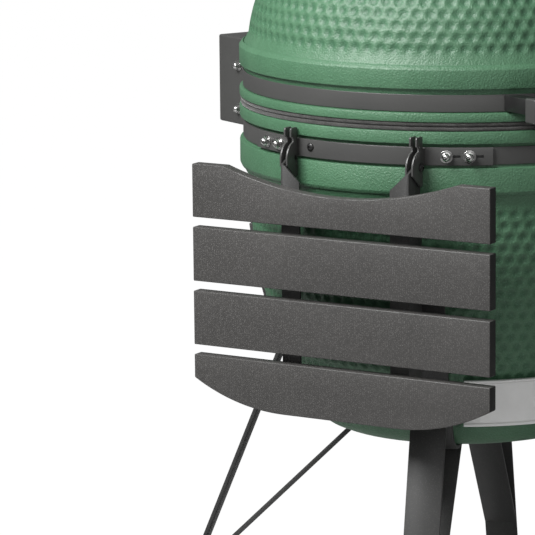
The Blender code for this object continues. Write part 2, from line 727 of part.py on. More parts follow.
def make_stand_leg(place_name, angle, rim):
    """One rib, its leg and its foot, in the upright plane at this angle from the front."""
    turn = (0.0, 0.0, math.radians(angle - 90.0))
    rib = upright(plate(place_name + "_rib", bar_outline(rib_path(), BAR_THICKNESS), BAR_WIDTH))
    lean = math.atan(LEG_LEAN)
    reach = 0.06
    inner_face = box(place_name + "_rib_trim_cutter",
                     (-BAR_THICKNESS / 2.0 - TOUCH_GAP, -BAR_WIDTH, -reach), (reach, BAR_WIDTH, reach))
    transform_mesh(inner_face, (leg_radius(BRACE_JOIN_Z), 0.0, BRACE_JOIN_Z), (0.0, -lean, 0.0))
    place(inner_face, rim, rotation=turn)
    boolean(rib, make_cutter(inner_face), "DIFFERENCE")
    make_part(rib, "black_steel", rim, rotation=turn)

    ground = -RIM_HEIGHT
    path = [(leg_radius(LEG_START_Z), LEG_START_Z), (leg_radius(ground), ground)]
    leg = upright(plate(place_name + "_leg", bar_outline(path, BAR_THICKNESS), BAR_WIDTH))
    sole = ground + FOOT_HEIGHT
    floor_cut = box(place_name + "_leg_end_cutter", (0.0, -BAR_WIDTH, sole - 0.05),
                    (2.0 * leg_radius(ground), BAR_WIDTH, sole))
    place(floor_cut, rim, rotation=turn)
    boolean(leg, make_cutter(floor_cut), "DIFFERENCE")
    rib_side = shifted(bowl_outline(RIB_TOP), 2.0 * TOUCH_GAP + LAYER_GAP + BAR_THICKNESS)
    cope = upright(plate(place_name + "_leg_cope_cutter",
                         rib_side + [(0.0, -BOWL_BOTTOM), (0.0, RIB_TOP)], 1.2 * BAR_WIDTH))
    place(cope, rim, rotation=turn)
    boolean(leg, make_cutter(cope), "DIFFERENCE")
    make_part(leg, "black_steel", rim, rotation=turn)

    middle = leg_radius(sole)
    foot = box(place_name + "_foot", (middle - FOOT_DEPTH / 2.0, -FOOT_WIDTH / 2.0, ground),
               (middle + FOOT_DEPTH / 2.0, FOOT_WIDTH / 2.0, sole - TOUCH_GAP))
    make_part(foot, "rubber", rim, rotation=turn)


def make_cradle_ring(rim):
    outer = BRACE_START_RADIUS - BAR_THICKNESS * 1.5
    top = -BOWL_BOTTOM - TOUCH_GAP
    bottom = top - CRADLE_THICKNESS
    ring = turned("cradle_ring", [(outer, top), (outer, bottom), (CRADLE_INNER, bottom),
                                  (CRADLE_INNER, top)])
    return make_part(ring, "black_steel", rim)


# ---------------------------------------------------------------- side shelves
def ear_outline(root_x):
    """An ear in the plane of a shelf arm: root on the strap, notch and lug above the bolt."""
    strap_top = BASE_BAND_TOP - PIVOT_Z - 0.0012
    strap_bottom = BASE_BAND_BOTTOM - PIVOT_Z + 0.0010
    outline = [(EAR_INSIDE_X, EAR_BOTTOM), (0.0010, EAR_BOTTOM), (EAR_ARC_RADIUS - 0.0003, -0.0080)]
    outline += arc((0.0, 0.0), EAR_ARC_RADIUS, 0.0, 75.0, 7)
    outline += [(NOTCH_DEPTH_X, LUG_BOTTOM), (LUG_OUT, LUG_BOTTOM), (LUG_OUT, LUG_TOP - 0.002),
                (LUG_OUT - 0.0015, LUG_TOP), (EAR_INSIDE_X + 0.0015, LUG_TOP),
                (EAR_INSIDE_X, LUG_TOP - 0.001), (EAR_INSIDE_X, strap_top), (root_x, strap_top),
                (root_x, strap_bottom), (EAR_INSIDE_X, strap_bottom)]
    return outline


def make_shelf_bracket(side_name, pivot):
    """A strap over the base band that carries two pairs of ears."""
    inner = BAND_OUTER + LAYER_GAP
    outer = inner + STRAP_THICKNESS
    section = [(inner, BASE_BAND_BOTTOM), (inner, BASE_BAND_TOP), (outer, BASE_BAND_TOP),
               (outer, BASE_BAND_BOTTOM)]
    strap = bent_strip(side_name + "_shelf_bracket", section, 90.0 - STRAP_HALF_ANGLE,
                       90.0 + STRAP_HALF_ANGLE)
    transform_mesh(strap, (-PIVOT_RADIUS, 0.0, -PIVOT_Z))
    ears = []
    for side in (-1.0, 1.0):
        for start in (EAR_INNER, EAR_OUTER):
            middle = side * (start + EAR_THICKNESS / 2.0)
            root_x = math.sqrt((inner + STRAP_THICKNESS / 2.0) ** 2 - middle ** 2) - PIVOT_RADIUS
            hole = circle((0.0, 0.0), BOLT_RADIUS + RUN_GAP)
            ear = plate(f"{side_name}_ear", ear_outline(root_x), EAR_THICKNESS, [hole])
            ears.append(upright(ear, middle))
    join_to(strap, *ears)
    return make_part(strap, "black_steel", pivot)


def make_pivot_bolt(name, side, pivot):
    """A domed bolt through both ears and the arm between them; its end is flush inside."""
    start = EAR_INNER
    seat = EAR_OUTER + EAR_THICKNESS + TOUCH_GAP
    top = seat + BOLT_HEAD_HEIGHT
    profile = [(0.0, top), (BOLT_HEAD_RADIUS * 0.55, top - 0.0004),
               (BOLT_HEAD_RADIUS * 0.9, top - 0.0015), (BOLT_HEAD_RADIUS, seat),
               (BOLT_RADIUS, seat), (BOLT_RADIUS, start), (0.0, start)]
    bolt = apply_modifiers(turned(name, profile, closed=False, steps=12))
    transform_mesh(bolt, rotation=(-side * math.pi / 2.0, 0.0, 0.0))
    return make_part(bolt, "black_steel", pivot)


def make_shelf_arm(name, side, pivot):
    """An angle: a web on the pivot bolt and a flange behind the slats."""
    outer_x = SLAT_BACK_X - TOUCH_GAP
    web_outline = arc((0.0, 0.0), ARM_END_RADIUS, 180.0, 60.0, 7)
    web_outline += [(outer_x - 0.0002, ARM_TOP), (outer_x - 0.0002, ARM_BOTTOM),
                    (ARM_LOWER_INSIDE_X, ARM_BOTTOM), (ARM_LOWER_INSIDE_X, -0.0620),
                    (ARM_INSIDE_X, -0.0520), (ARM_INSIDE_X, -0.0100)]
    hole = circle((0.0, 0.0), BOLT_RADIUS + RUN_GAP)
    web = plate(name, web_outline, ARM_SHEET, [hole])
    upright(web, side * (ARM_WEB_Y + ARM_SHEET / 2.0))
    inside_y = ARM_WEB_Y + ARM_SHEET * 0.7
    flange_outline = [(inside_y, ARM_TOP), (ARM_WEB_Y - 0.0005, ARM_TOP),
                      (ARM_FLANGE_END, FLANGE_FULL_Z), (ARM_FLANGE_END, ARM_BOTTOM),
                      (inside_y, ARM_BOTTOM)]
    flange = plate(name + "_flange", [(side * y, z) for y, z in flange_outline], ARM_SHEET)
    transform_mesh(flange, (outer_x - ARM_SHEET / 2.0, 0.0, 0.0), (math.pi / 2.0, 0.0, math.pi / 2.0))
    join_to(web, flange)
    return make_part(web, "black_steel", pivot)


def slat_outlines():
    """The four slats from the top down, as (y, z) outlines at the pivot."""
    half = SLAT_HALF_LENGTH
    arc_radius = (TOP_ARC_HALF ** 2 + TOP_ARC_DIP ** 2) / (2.0 * TOP_ARC_DIP)
    sweep = math.degrees(math.asin(TOP_ARC_HALF / arc_radius))
    dip = arc((0.0, SLAT_TOP - TOP_ARC_DIP + arc_radius), arc_radius, 270.0 - sweep,
              270.0 + sweep, 15)
    outlines = [[(-half, SLAT_TOP), *dip, (half, SLAT_TOP), (half, TOP_SLAT_BOTTOM),
                 (-half, TOP_SLAT_BOTTOM)]]
    top = TOP_SLAT_BOTTOM - SLAT_GAP
    for _ in range(2):
        bottom = top - SLAT_WIDTH
        outlines.append([(-half, top), (half, top), (half, bottom), (-half, bottom)])
        top = bottom - SLAT_GAP
    flat = BOTTOM_SLAT_FLAT_HALF
    run = half - flat
    rise = BOTTOM_SLAT_HEIGHT - BOTTOM_SLAT_END_HEIGHT
    bow_radius = (run ** 2 + rise ** 2) / (2.0 * rise)
    turn = math.degrees(math.asin(run / bow_radius))
    bottom = top - BOTTOM_SLAT_HEIGHT
    right_bow = arc((flat, bottom + bow_radius), bow_radius, 270.0 + turn, 270.0, 8)
    left_bow = [(-y, z) for y, z in reversed(right_bow)]
    outlines.append([(-half, top), (half, top), *right_bow, *left_bow])
    return outlines


def make_slat(name, outline, pivot):
    slat = plate(name, outline, SLAT_THICKNESS)
    middle = SLAT_BACK_X + SLAT_THICKNESS / 2.0
    transform_mesh(slat, (middle, 0.0, 0.0), (math.pi / 2.0, 0.0, math.pi / 2.0))
    bevel = slat.modifiers.new("edges", "BEVEL")
    bevel.width = SLAT_EDGE
    bevel.segments = 1
    bevel.limit_method = "ANGLE"
    bevel.angle_limit = math.radians(40.0)
    return make_part(slat, "slat_board", pivot)


def make_shelf(side_name, sign, rim):
    """A shelf on its pivots; sign is -1 on the left and +1 on the right."""
    facing = math.radians(sign * SHELF_ANGLE - 90.0)
    where = (PIVOT_RADIUS * math.cos(facing), PIVOT_RADIUS * math.sin(facing), PIVOT_Z)
    pivot = new_empty(side_name + "_shelf_pivot", where, (0.0, 0.0, facing), rim)
    make_shelf_bracket(side_name, pivot)
    for end, side in (("front", -sign), ("rear", sign)):
        make_pivot_bolt(f"{side_name}_{end}_pivot_bolt", side, pivot)
        make_shelf_arm(f"{side_name}_shelf_{end}_arm", side, pivot)
    for i, outline in enumerate(slat_outlines()):
        make_slat(f"{side_name}_shelf_slat_{i + 1}", outline, pivot)


# ---------------------------------------------------------------- lid hinge
def make_hinge_housing(rim):
    """A sheet cover open towards the bowl, with slots in its top for the yoke's arms."""
    half = HOUSING_HALF_WIDTH
    cover = box("hinge_housing", (-half, HOUSING_FRONT, HOUSING_BOTTOM),
                (half, HOUSING_BACK, HOUSING_TOP))
    sheet = HOUSING_SHEET
    hollow = box("housing_hollow_cutter",
                 (-half + sheet, HOUSING_FRONT - 0.01, HOUSING_BOTTOM + sheet),
                 (half - sheet, HOUSING_BACK - sheet, HOUSING_TOP - sheet))
    boolean(cover, make_cutter(hollow, rim), "DIFFERENCE")
    for side in (-1.0, 1.0):
        middle = side * (YOKE_ARM_X + HINGE_PLATE / 2.0)
        width = HINGE_PLATE / 2.0 + 0.003
        slot = box("arm_slot_cutter", (middle - width, HOUSING_FRONT - 0.01, HOUSING_TOP - 0.01),
                   (middle + width, HINGE_Y + HINGE_EYE_RADIUS + 0.008, HOUSING_TOP + 0.01))
        boolean(cover, make_cutter(slot, rim), "DIFFERENCE")
    for z in (HINGE_Z, COVER_BOLT_Z):
        drill = cylinder("housing_drill_cutter", PIN_RADIUS + RUN_GAP, -2.0 * half, 2.0 * half,
                         segments=12)
        transform_mesh(drill, (0.0, HINGE_Y, z), (0.0, math.pi / 2.0, 0.0))
        boolean(cover, make_cutter(drill, rim), "DIFFERENCE")
    return make_part(cover, "black_steel", rim)


def make_cross_pin(name, z, rim):
    """A rod across the housing with a domed head at each end."""
    half = HOUSING_HALF_WIDTH + TOUCH_GAP
    end = half + PIN_HEAD_HEIGHT
    profile = [(0.0, end), (PIN_HEAD_RADIUS * 0.6, end - 0.0007), (PIN_HEAD_RADIUS, end - 0.0025),
               (PIN_HEAD_RADIUS, half), (PIN_RADIUS, half)]
    profile += [(radius, -height) for radius, height in reversed(profile)]
    pin = apply_modifiers(turned(name, profile, closed=False, steps=12))
    transform_mesh(pin, (0.0, HINGE_Y, z), (0.0, math.pi / 2.0, 0.0))
    return make_part(pin, "brushed_steel", rim)


def hinge_arm(name, outline, x, holes):
    """A plate across X with its outline in Y and Z."""
    arm = plate(name, outline, HINGE_PLATE, holes)
    return transform_mesh(arm, (x, 0.0, 0.0), (math.pi / 2.0, 0.0, math.pi / 2.0))


def hinge_strap(name, bottom, top):
    inner = BAND_OUTER + LAYER_GAP
    outer = inner + STRAP_THICKNESS
    section = [(inner, bottom), (inner, top), (outer, top), (outer, bottom)]
    return bent_strip(name, section, 180.0 - HINGE_STRAP_HALF_ANGLE, 180.0 + HINGE_STRAP_HALF_ANGLE)


def strap_root(x):
    """Y of the middle of a hinge strap's wall at this X."""
    return math.sqrt((BAND_OUTER + LAYER_GAP + STRAP_THICKNESS / 2.0) ** 2 - x ** 2)


def rim_clear(x):
    """Y just outside the ceramic rim at this X."""
    return math.sqrt((RIM_RADIUS + LAYER_GAP) ** 2 - x ** 2)


def make_hinge_base_bracket(rim):
    """A strap on the base band with two ears up to the pin and down to the cover bolt."""
    bracket = hinge_strap("hinge_base_bracket", BASE_BAND_BOTTOM, BASE_BAND_TOP)
    hole_radius = PIN_RADIUS + RUN_GAP
    holes = [circle((HINGE_Y, HINGE_Z), hole_radius), circle((HINGE_Y, COVER_BOLT_Z), hole_radius)]
    eye = HINGE_EYE_RADIUS
    ears = []
    for side in (-1.0, 1.0):
        middle = BRACKET_EAR_X + HINGE_PLATE / 2.0
        root = strap_root(middle)
        clear = rim_clear(BRACKET_EAR_X)
        top = BASE_BAND_TOP - 0.001
        bottom = BASE_BAND_BOTTOM + 0.001
        outline = [(root, top), (clear, top)]
        outline += arc((HINGE_Y, HINGE_Z), eye, 135.0, 0.0, 8)
        outline += arc((HINGE_Y, COVER_BOLT_Z), eye, 0.0, -90.0, 5)
        outline += [(clear, bottom - 0.004), (clear, bottom), (root, bottom)]
        ears.append(hinge_arm("bracket_ear", outline, side * middle, holes))
    return make_part(join_to(bracket, *ears), "black_steel", rim)


def make_hinge_yoke(lid):
    """A strap on the lid band with two arms back to the pin."""
    yoke = hinge_strap("hinge_yoke", LID_BAND_BOTTOM, LID_BAND_TOP)
    holes = [circle((HINGE_Y, HINGE_Z), PIN_RADIUS + RUN_GAP)]
    arms = []
    for side in (-1.0, 1.0):
        middle = YOKE_ARM_X + HINGE_PLATE / 2.0
        root = strap_root(middle)
        clear = rim_clear(YOKE_ARM_X)
        top = LID_BAND_TOP - 0.001
        bottom = LID_BAND_BOTTOM + 0.001
        outline = [(root, top), (clear, top)]
        outline += arc((HINGE_Y, HINGE_Z), HINGE_EYE_RADIUS, 75.0, -100.0, 10)
        outline += [(clear, bottom), (root, bottom)]
        arms.append(hinge_arm("yoke_arm", outline, side * middle, holes))
    join_to(yoke, *arms)
    transform_mesh(yoke, (0.0, -HINGE_Y, -HINGE_Z))
    return make_part(yoke, "black_steel", lid)


def make_hinge_spring(name, side, rim):
    """A coil round the hinge pin with one leg to the back of the housing and one forward."""
    turn_points = 8
    data = bpy.data.curves.new(name, "CURVE")
    data.dimensions = "3D"
    data.bevel_depth = SPRING_WIRE
    data.bevel_resolution = 2
    data.use_fill_caps = True
    points = [(SPRING_START_X, HINGE_Y + 0.030, HINGE_Z - SPRING_RADIUS)]
    for i in range(SPRING_TURNS * turn_points + 1):
        turn = 2.0 * math.pi * i / turn_points - math.pi / 2.0
        points.append((SPRING_START_X + SPRING_PITCH * i / turn_points,
                       HINGE_Y - SPRING_RADIUS * math.cos(turn),
                       HINGE_Z + SPRING_RADIUS * math.sin(turn)))
    points.append((points[-1][0], HOUSING_FRONT + 0.006, HINGE_Z - SPRING_RADIUS))
    spline = data.splines.new("POLY")
    spline.points.add(len(points) - 1)
    for point, (x, y, z) in zip(spline.points, points):
        point.co = (side * x, y, z, 1.0)
    return make_part(mesh_from_curve(name, data), "brushed_steel", rim)


# ---------------------------------------------------------------- lid fittings
def make_handle(lid, offset):
    back = -HANDLE_FRONT + HANDLE_DEPTH
    grip = box("handle_grip", (-HANDLE_HALF_LENGTH, -HANDLE_FRONT, HANDLE_BOTTOM),
               (HANDLE_HALF_LENGTH, back, HANDLE_TOP))
    bevel = grip.modifiers.new("edges", "BEVEL")
    bevel.width = 0.003
    bevel.segments = 2
    make_part(grip, "black_steel", lid, offset)
    margin = 0.001
    for name, side in (("left_handle_bracket", -1.0), ("right_handle_bracket", 1.0)):
        near = side * HANDLE_BRACKET_X - HANDLE_BRACKET_WIDTH / 2.0
        far = side * HANDLE_BRACKET_X + HANDLE_BRACKET_WIDTH / 2.0
        bracket = box(name, (near, back + TOUCH_GAP, LID_BAND_BOTTOM + margin),
                      (far, -BAND_OUTER / 2.0, LID_BAND_TOP - margin))
        boolean(bracket, bpy.data.objects["band_clearance_cutter"], "DIFFERENCE")
        make_part(bracket, "black_steel", lid, offset)


def make_band_clearance(parent, offset):
    top = LID_BAND_TOP + 0.02
    bottom = LID_BAND_BOTTOM - 0.02
    radius = BAND_OUTER + LAYER_GAP
    cutter = turned("band_clearance_cutter", [(0.0, top), (radius, top), (radius, bottom),
                                              (0.0, bottom)], closed=False, steps=96)
    place(make_cutter(cutter), parent, offset)


def thermometer_seat():
    """The point on the front of the dome where the thermometer sits, from the rim's centre."""
    radius = ellipse_radius(THERMOMETER_Z, DOME_RADIUS, DOME_CENTRE_Z, DOME_HEIGHT)
    return (0.0, -radius, THERMOMETER_Z)


def thermometer_tilt():
    """Turns Z to the dome's outward normal at the thermometer."""
    _, y, z = thermometer_seat()
    slope = math.atan2((z - DOME_CENTRE_Z) / DOME_HEIGHT ** 2, -y / DOME_RADIUS ** 2)
    return (math.pi / 2.0 - slope, 0.0, 0.0)


def make_thermometer(lid, offset):
    seat = Vector(thermometer_seat()) + Vector(offset)
    dial = new_empty("thermometer_axis", seat, thermometer_tilt(), lid)
    back = TOUCH_GAP
    front = back + CASE_DEPTH
    inside = CASE_RADIUS - CASE_WALL
    floor = back + CASE_FLOOR
    profile = [(0.0, floor), (inside, floor), (inside, front), (CASE_RADIUS, front),
               (CASE_RADIUS, back), (STEM_RADIUS, back), (STEM_RADIUS, -STEM_LENGTH),
               (0.0, -STEM_LENGTH - 0.003)]
    case = turned("thermometer_case", profile, closed=False, steps=20)
    make_part(case, "brushed_steel", dial)
    half = NEEDLE_WIDTH / 2.0
    outline = [(-half, -0.006), (half, -0.006), (half, 0.0), (half * 0.3, NEEDLE_LENGTH),
               (-half * 0.3, NEEDLE_LENGTH), (-half, 0.0)]
    needle = plate("thermometer_needle", outline, NEEDLE_THICKNESS)
    transform_mesh(needle, (0.0, 0.0, floor + TOUCH_GAP + NEEDLE_THICKNESS))
    make_part(needle, "black_steel", dial)


def petal_holes(turn):
    """The round holes of the daisy pattern, turned by an angle in degrees."""
    centres = arc((0.0, 0.0), PETAL_CIRCLE, turn, turn + 360.0, PETALS + 1)[:-1]
    return [circle(centre, PETAL_RADIUS) for centre in centres]


def tab_outline(radius, tab_angle, tab_width, tab_length, pivot_angle, pivot_reach, pivot_radius):
    """A disc's outline with a finger tab on one side and a rounded pivot ear on the other."""
    half_tab = math.degrees(math.asin(tab_width / 2.0 / radius))
    half_ear = math.degrees(math.asin(pivot_radius / radius))
    outline = arc((0.0, 0.0), radius, tab_angle + half_tab, pivot_angle - half_ear, 16)
    outline += arc((0.0, pivot_reach), pivot_radius, 0.0, 180.0, 9)
    outline += arc((0.0, 0.0), radius, pivot_angle + half_ear, tab_angle + 360.0 - half_tab, 16)
    side = tab_width / 2.0
    outline += [(-side, -radius - tab_length), (side, -radius - tab_length)]
    return outline


def make_top_vent(lid, offset):
    collar_top = NECK_TOP + TOUCH_GAP + VENT_PLATE
    collar_inner = NECK_RADIUS + TOUCH_GAP
    collar_outer = collar_inner + VENT_WALL
    profile = [(VENT_OPENING_RADIUS, collar_top), (collar_outer, collar_top),
               (collar_outer, collar_top - VENT_OVERLAP), (collar_inner, collar_top - VENT_OVERLAP),
               (collar_inner, collar_top - VENT_PLATE), (VENT_OPENING_RADIUS, collar_top - VENT_PLATE)]
    collar = apply_modifiers(turned("vent_base", profile))
    pin_top = collar_top + TOUCH_GAP + SLIDE_PLATE + 0.006
    where = (0.0, VENT_PIVOT_Y)
    boss = cylinder("vent_boss", VENT_BOSS_RADIUS, collar_top - 0.016, collar_top, where)
    web = box("vent_web", (-0.004, NECK_RADIUS + VENT_WALL - 0.001, collar_top - 0.014),
              (0.004, VENT_PIVOT_Y, collar_top - 0.001))
    pin = cylinder("vent_pin", VENT_PIN_RADIUS, collar_top - 0.008, pin_top, where, 12)
    join_to(collar, boss, web, pin)
    make_part(collar, "cast_iron", lid, offset)

    slide_axis = new_empty("vent_slide_axis", Vector(offset) + Vector((0.0, VENT_PIVOT_Y, 0.0)),
                           parent=lid)
    bottom = collar_top + TOUCH_GAP
    outline = tab_outline(SLIDE_RADIUS, -90.0, SLIDE_TAB_WIDTH, SLIDE_TAB_LENGTH, 90.0,
                          VENT_PIVOT_Y, VENT_BOSS_RADIUS)
    holes = petal_holes(90.0) + [circle((0.0, VENT_PIVOT_Y), VENT_PIN_RADIUS + RUN_GAP)]
    slide = plate("vent_slide", outline, SLIDE_PLATE, holes)
    transform_mesh(slide, (0.0, 0.0, bottom + SLIDE_PLATE / 2.0))
    stud = cylinder("daisy_stud", VENT_PIN_RADIUS, bottom + 0.001,
                    bottom + SLIDE_PLATE + DAISY_PLATE + 0.005, segments=12)
    join_to(slide, stud)
    transform_mesh(slide, (0.0, -VENT_PIVOT_Y, 0.0))
    make_part(slide, "cast_iron", slide_axis)

    daisy_axis = new_empty("daisy_axis", offset, parent=lid)
    low = bottom + SLIDE_PLATE + TOUCH_GAP
    half_pitch = 180.0 / PETALS
    holes = petal_holes(90.0 - half_pitch) + [circle((0.0, 0.0), VENT_PIN_RADIUS + RUN_GAP)]
    daisy = plate("daisy_disc", circle((0.0, 0.0), DAISY_RADIUS, 36), DAISY_PLATE, holes)
    transform_mesh(daisy, (0.0, 0.0, low + DAISY_PLATE / 2.0))
    knob = cylinder("daisy_knob", DAISY_KNOB_RADIUS, low + 0.001, low + DAISY_KNOB_HEIGHT,
                    (0.0, -DAISY_KNOB_CIRCLE), 12)
    make_part(join_to(daisy, knob), "cast_iron", daisy_axis)


# ---------------------------------------------------------------- the grill
def make_base(rim):
    make_base_bowl(rim)
    make_gasket("base_gasket", rim, TOUCH_GAP)
    make_band("base_band", rim, BASE_BAND_BOTTOM, BASE_BAND_TOP)
    make_firebox(rim)
    make_fire_ring(rim)
    make_grate("charcoal_grate", FIREBOX_BASE_RADIUS - 0.0015, LEDGE_Z + TOUCH_GAP,
               CHARCOAL_GRATE_THICKNESS, CHARCOAL_SLOT, CHARCOAL_BAR, 0.012, "cast_iron", rim)
    make_grate("cooking_grate", COOKING_GRATE_RADIUS, FIRE_RING_TOP + TOUCH_GAP,
               COOKING_GRATE_THICKNESS, COOKING_SLOT, COOKING_BAR, 0.008, "brushed_steel", rim)
    make_draft_frame(rim)
    draft_axis = new_empty("draft_axis", parent=rim)
    door_radius = DRAFT_RADIUS - DRAFT_SHEET - LAYER_GAP
    screen_radius = door_radius - DOOR_SHEET - LAYER_GAP
    door = draft_sheet("draft_door", door_radius)
    join_to(door, draft_tab(door_radius))
    make_part(door, "brushed_steel", draft_axis)
    make_part(draft_sheet("draft_screen", screen_radius), "brushed_steel", draft_axis)


def make_stand(rim):
    make_cradle_ring(rim)
    for place_name, angle in LEG_ANGLES.items():
        make_stand_leg(place_name, angle, rim)


def make_lid(rim):
    """The lid hangs on an empty on the hinge pin's axis."""
    hinge = new_empty("lid_hinge_axis", (0.0, HINGE_Y, HINGE_Z), parent=rim)
    offset = (0.0, -HINGE_Y, -HINGE_Z)
    centre = new_empty("lid_centre", offset, parent=hinge)
    dome = make_lid_dome(centre)
    make_part(dome, "green_ceramic", centre)
    make_gasket("lid_gasket", hinge, LID_BOTTOM - TOUCH_GAP - GASKET_THICKNESS, offset)
    make_band("lid_band", hinge, LID_BAND_BOTTOM, LID_BAND_TOP, offset)
    make_hinge_yoke(hinge)
    make_band_clearance(hinge, offset)
    make_handle(hinge, offset)
    make_thermometer(hinge, offset)
    make_top_vent(hinge, offset)


def make_hinge(rim):
    make_hinge_base_bracket(rim)
    make_hinge_housing(rim)
    make_cross_pin("hinge_pin", HINGE_Z, rim)
    make_cross_pin("housing_bolt", COVER_BOLT_Z, rim)
    make_hinge_spring("left_hinge_spring", -1.0, rim)
    make_hinge_spring("right_hinge_spring", 1.0, rim)


def main():
    rim = new_empty("rim_centre", (0.0, AXIS_Y, RIM_HEIGHT))
    make_base(rim)
    make_stand(rim)
    make_hinge(rim)
    make_lid(rim)
    make_shelf("left", -1.0, rim)
    make_shelf("right", 1.0, rim)
    for thing in PARTS.objects:
        if thing.type == "MESH" and "slat" not in thing.name:
            smooth_round(thing)


main()
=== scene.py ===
"""Looks of an egg-shaped ceramic charcoal grill on a steel stand with two folding shelves.

Every sub-assembly is a class that keeps its sizes as fields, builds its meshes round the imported
frame and dresses them. Sizes are metres from the middle of the base's rim, unless said otherwise.
"""

import json
import logging
import math
from collections.abc import Iterator, Sequence
from contextlib import contextmanager
from dataclasses import dataclass, field
from enum import Enum

import bpy
import numpy as np
from mathutils import Matrix, Vector


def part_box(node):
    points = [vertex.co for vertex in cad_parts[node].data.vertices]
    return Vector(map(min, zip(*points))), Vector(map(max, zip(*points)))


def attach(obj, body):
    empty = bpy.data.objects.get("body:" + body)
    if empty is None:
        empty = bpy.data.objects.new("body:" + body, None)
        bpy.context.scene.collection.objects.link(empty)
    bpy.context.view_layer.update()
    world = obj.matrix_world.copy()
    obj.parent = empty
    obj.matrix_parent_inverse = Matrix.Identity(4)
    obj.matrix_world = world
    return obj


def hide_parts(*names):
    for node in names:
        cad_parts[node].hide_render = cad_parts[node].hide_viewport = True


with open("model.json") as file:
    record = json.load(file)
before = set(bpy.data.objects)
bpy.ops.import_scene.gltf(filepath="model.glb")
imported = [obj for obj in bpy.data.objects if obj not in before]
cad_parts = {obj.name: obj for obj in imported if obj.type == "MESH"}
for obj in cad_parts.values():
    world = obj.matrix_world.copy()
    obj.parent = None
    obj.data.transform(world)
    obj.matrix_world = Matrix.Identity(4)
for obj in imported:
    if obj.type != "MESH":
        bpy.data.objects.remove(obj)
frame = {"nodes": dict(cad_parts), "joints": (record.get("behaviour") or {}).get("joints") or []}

LOG = logging.getLogger("ceramic_grill")
Point = tuple[float, float]
Triple = tuple[float, float, float]
Thing = bpy.types.Object

UPRIGHT = Matrix.Rotation(math.pi / 2, 4, "X")    # a flat plate stood on edge, its face to -Y
NESTED_ROWS = 0.866                               # height of a row of nesting dimples to its pitch


# ---------------------------------------------------------------- modelling by hand
def deselect() -> None:
    """Leave nothing selected."""
    bpy.ops.object.select_all(action="DESELECT")


def pick(thing: Thing) -> None:
    """Make one object the only selected and the active one.

    Args:
        thing: The object to work on next.
    """
    deselect()
    thing.select_set(True)
    bpy.context.view_layer.objects.active = thing


@contextmanager
def editing(thing: Thing, kind: str = "VERT") -> Iterator[Thing]:
    """Edit mode on one object with its whole mesh selected.

    Args:
        thing: The object to edit.
        kind: What is selected: VERT, EDGE or FACE.
    """
    pick(thing)
    bpy.ops.object.mode_set(mode="EDIT")
    bpy.ops.mesh.select_mode(type=kind)
    bpy.ops.mesh.select_all(action="SELECT")
    try:
        yield thing
    finally:
        bpy.ops.object.mode_set(mode="OBJECT")


def settle(thing: Thing, matrix: Matrix | None = None) -> Thing:
    """Put an object's place into its mesh, after moving the mesh by a matrix.

    Args:
        thing: The finished mesh object.
        matrix: Where it goes, or nothing when it is in place.

    Returns:
        The same object, at the origin.
    """
    place = thing.matrix_basis.copy()
    thing.data.transform((matrix @ place) if matrix else place)
    thing.matrix_basis = Matrix.Identity(4)
    thing.data.update()
    return thing


def tidy_mesh(thing: Thing, merge: float = 0.00001) -> Thing:
    """Merge doubles, drop strays and turn all faces outwards.

    Args:
        thing: A closed mesh.
        merge: Distance below which two points are one.

    Returns:
        The same object.
    """
    with editing(thing):
        bpy.ops.mesh.remove_doubles(threshold=merge)
        bpy.ops.mesh.delete_loose(use_verts=True, use_edges=True, use_faces=False)
        bpy.ops.mesh.select_all(action="SELECT")
        bpy.ops.mesh.normals_make_consistent(inside=False)
    return thing


def outline_ring(name: str, outline: Sequence[Point], upright: bool, filled: bool) -> Thing:
    """A circle primitive pulled into the shape of an outline.

    Args:
        name: The object's name.
        outline: Points in order round the shape.
        upright: Puts the outline in X and Z, for turning about Z; otherwise X and Y.
        filled: Gives it a face.

    Returns:
        The ring, round the origin.
    """
    deselect()
    fill = "NGON" if filled else "NOTHING"
    bpy.ops.mesh.primitive_circle_add(vertices=len(outline), radius=1.0, fill_type=fill)
    ring = bpy.context.active_object
    ring.name = name
    ring.data.name = name
    for vertex, (a, b) in zip(ring.data.vertices, outline):
        vertex.co = (a, 0.0, b) if upright else (a, b, 0.0)
    return ring


def turned(name: str, outline: Sequence[Point], steps: int) -> Thing:
    """A closed (radius, z) outline turned all the way round Z.

    Args:
        name: The object's name.
        outline: The section, in order; it may touch the axis.
        steps: Facets round the piece.

    Returns:
        The turned piece.
    """
    ring = outline_ring(name, outline, upright=True, filled=False)
    with editing(ring):
        bpy.ops.mesh.spin(steps=steps, angle=math.tau, center=(0, 0, 0), axis=(0, 0, 1))
    return tidy_mesh(ring)


def swept(name: str, outline: Sequence[Point], start: float, end: float, step: float = 1.5) -> Thing:
    """A closed (radius, z) outline swept round part of a turn about Z.

    Args:
        name: The object's name.
        outline: The section, in order.
        start: First angle in degrees, from the front towards +X.
        end: Last angle.
        step: Degrees to a facet.

    Returns:
        The swept piece, closed at both ends.
    """
    ring = outline_ring(name, outline, upright=True, filled=True)
    count = max(2, math.ceil((end - start) / step))
    ring.data.transform(Matrix.Rotation(math.radians(start - 90.0), 4, "Z"))
    with editing(ring, "FACE"):
        bpy.ops.mesh.spin(steps=count, angle=math.radians(end - start), center=(0, 0, 0),
                          axis=(0, 0, -1))
    return tidy_mesh(ring)


def plate(name: str, outline: Sequence[Point], thickness: float) -> Thing:
    """A flat outline in X and Y, extruded equally to both sides in Z.

    Args:
        name: The object's name.
        outline: Points in order round the shape.
        thickness: Height of the extrusion.

    Returns:
        The plate.
    """
    sheet = outline_ring(name, outline, upright=False, filled=True)
    with editing(sheet, "FACE"):
        bpy.ops.transform.translate(value=(0, 0, -thickness / 2.0))
        bpy.ops.mesh.extrude_region_move(TRANSFORM_OT_translate={"value": (0, 0, thickness)})
    return tidy_mesh(sheet)


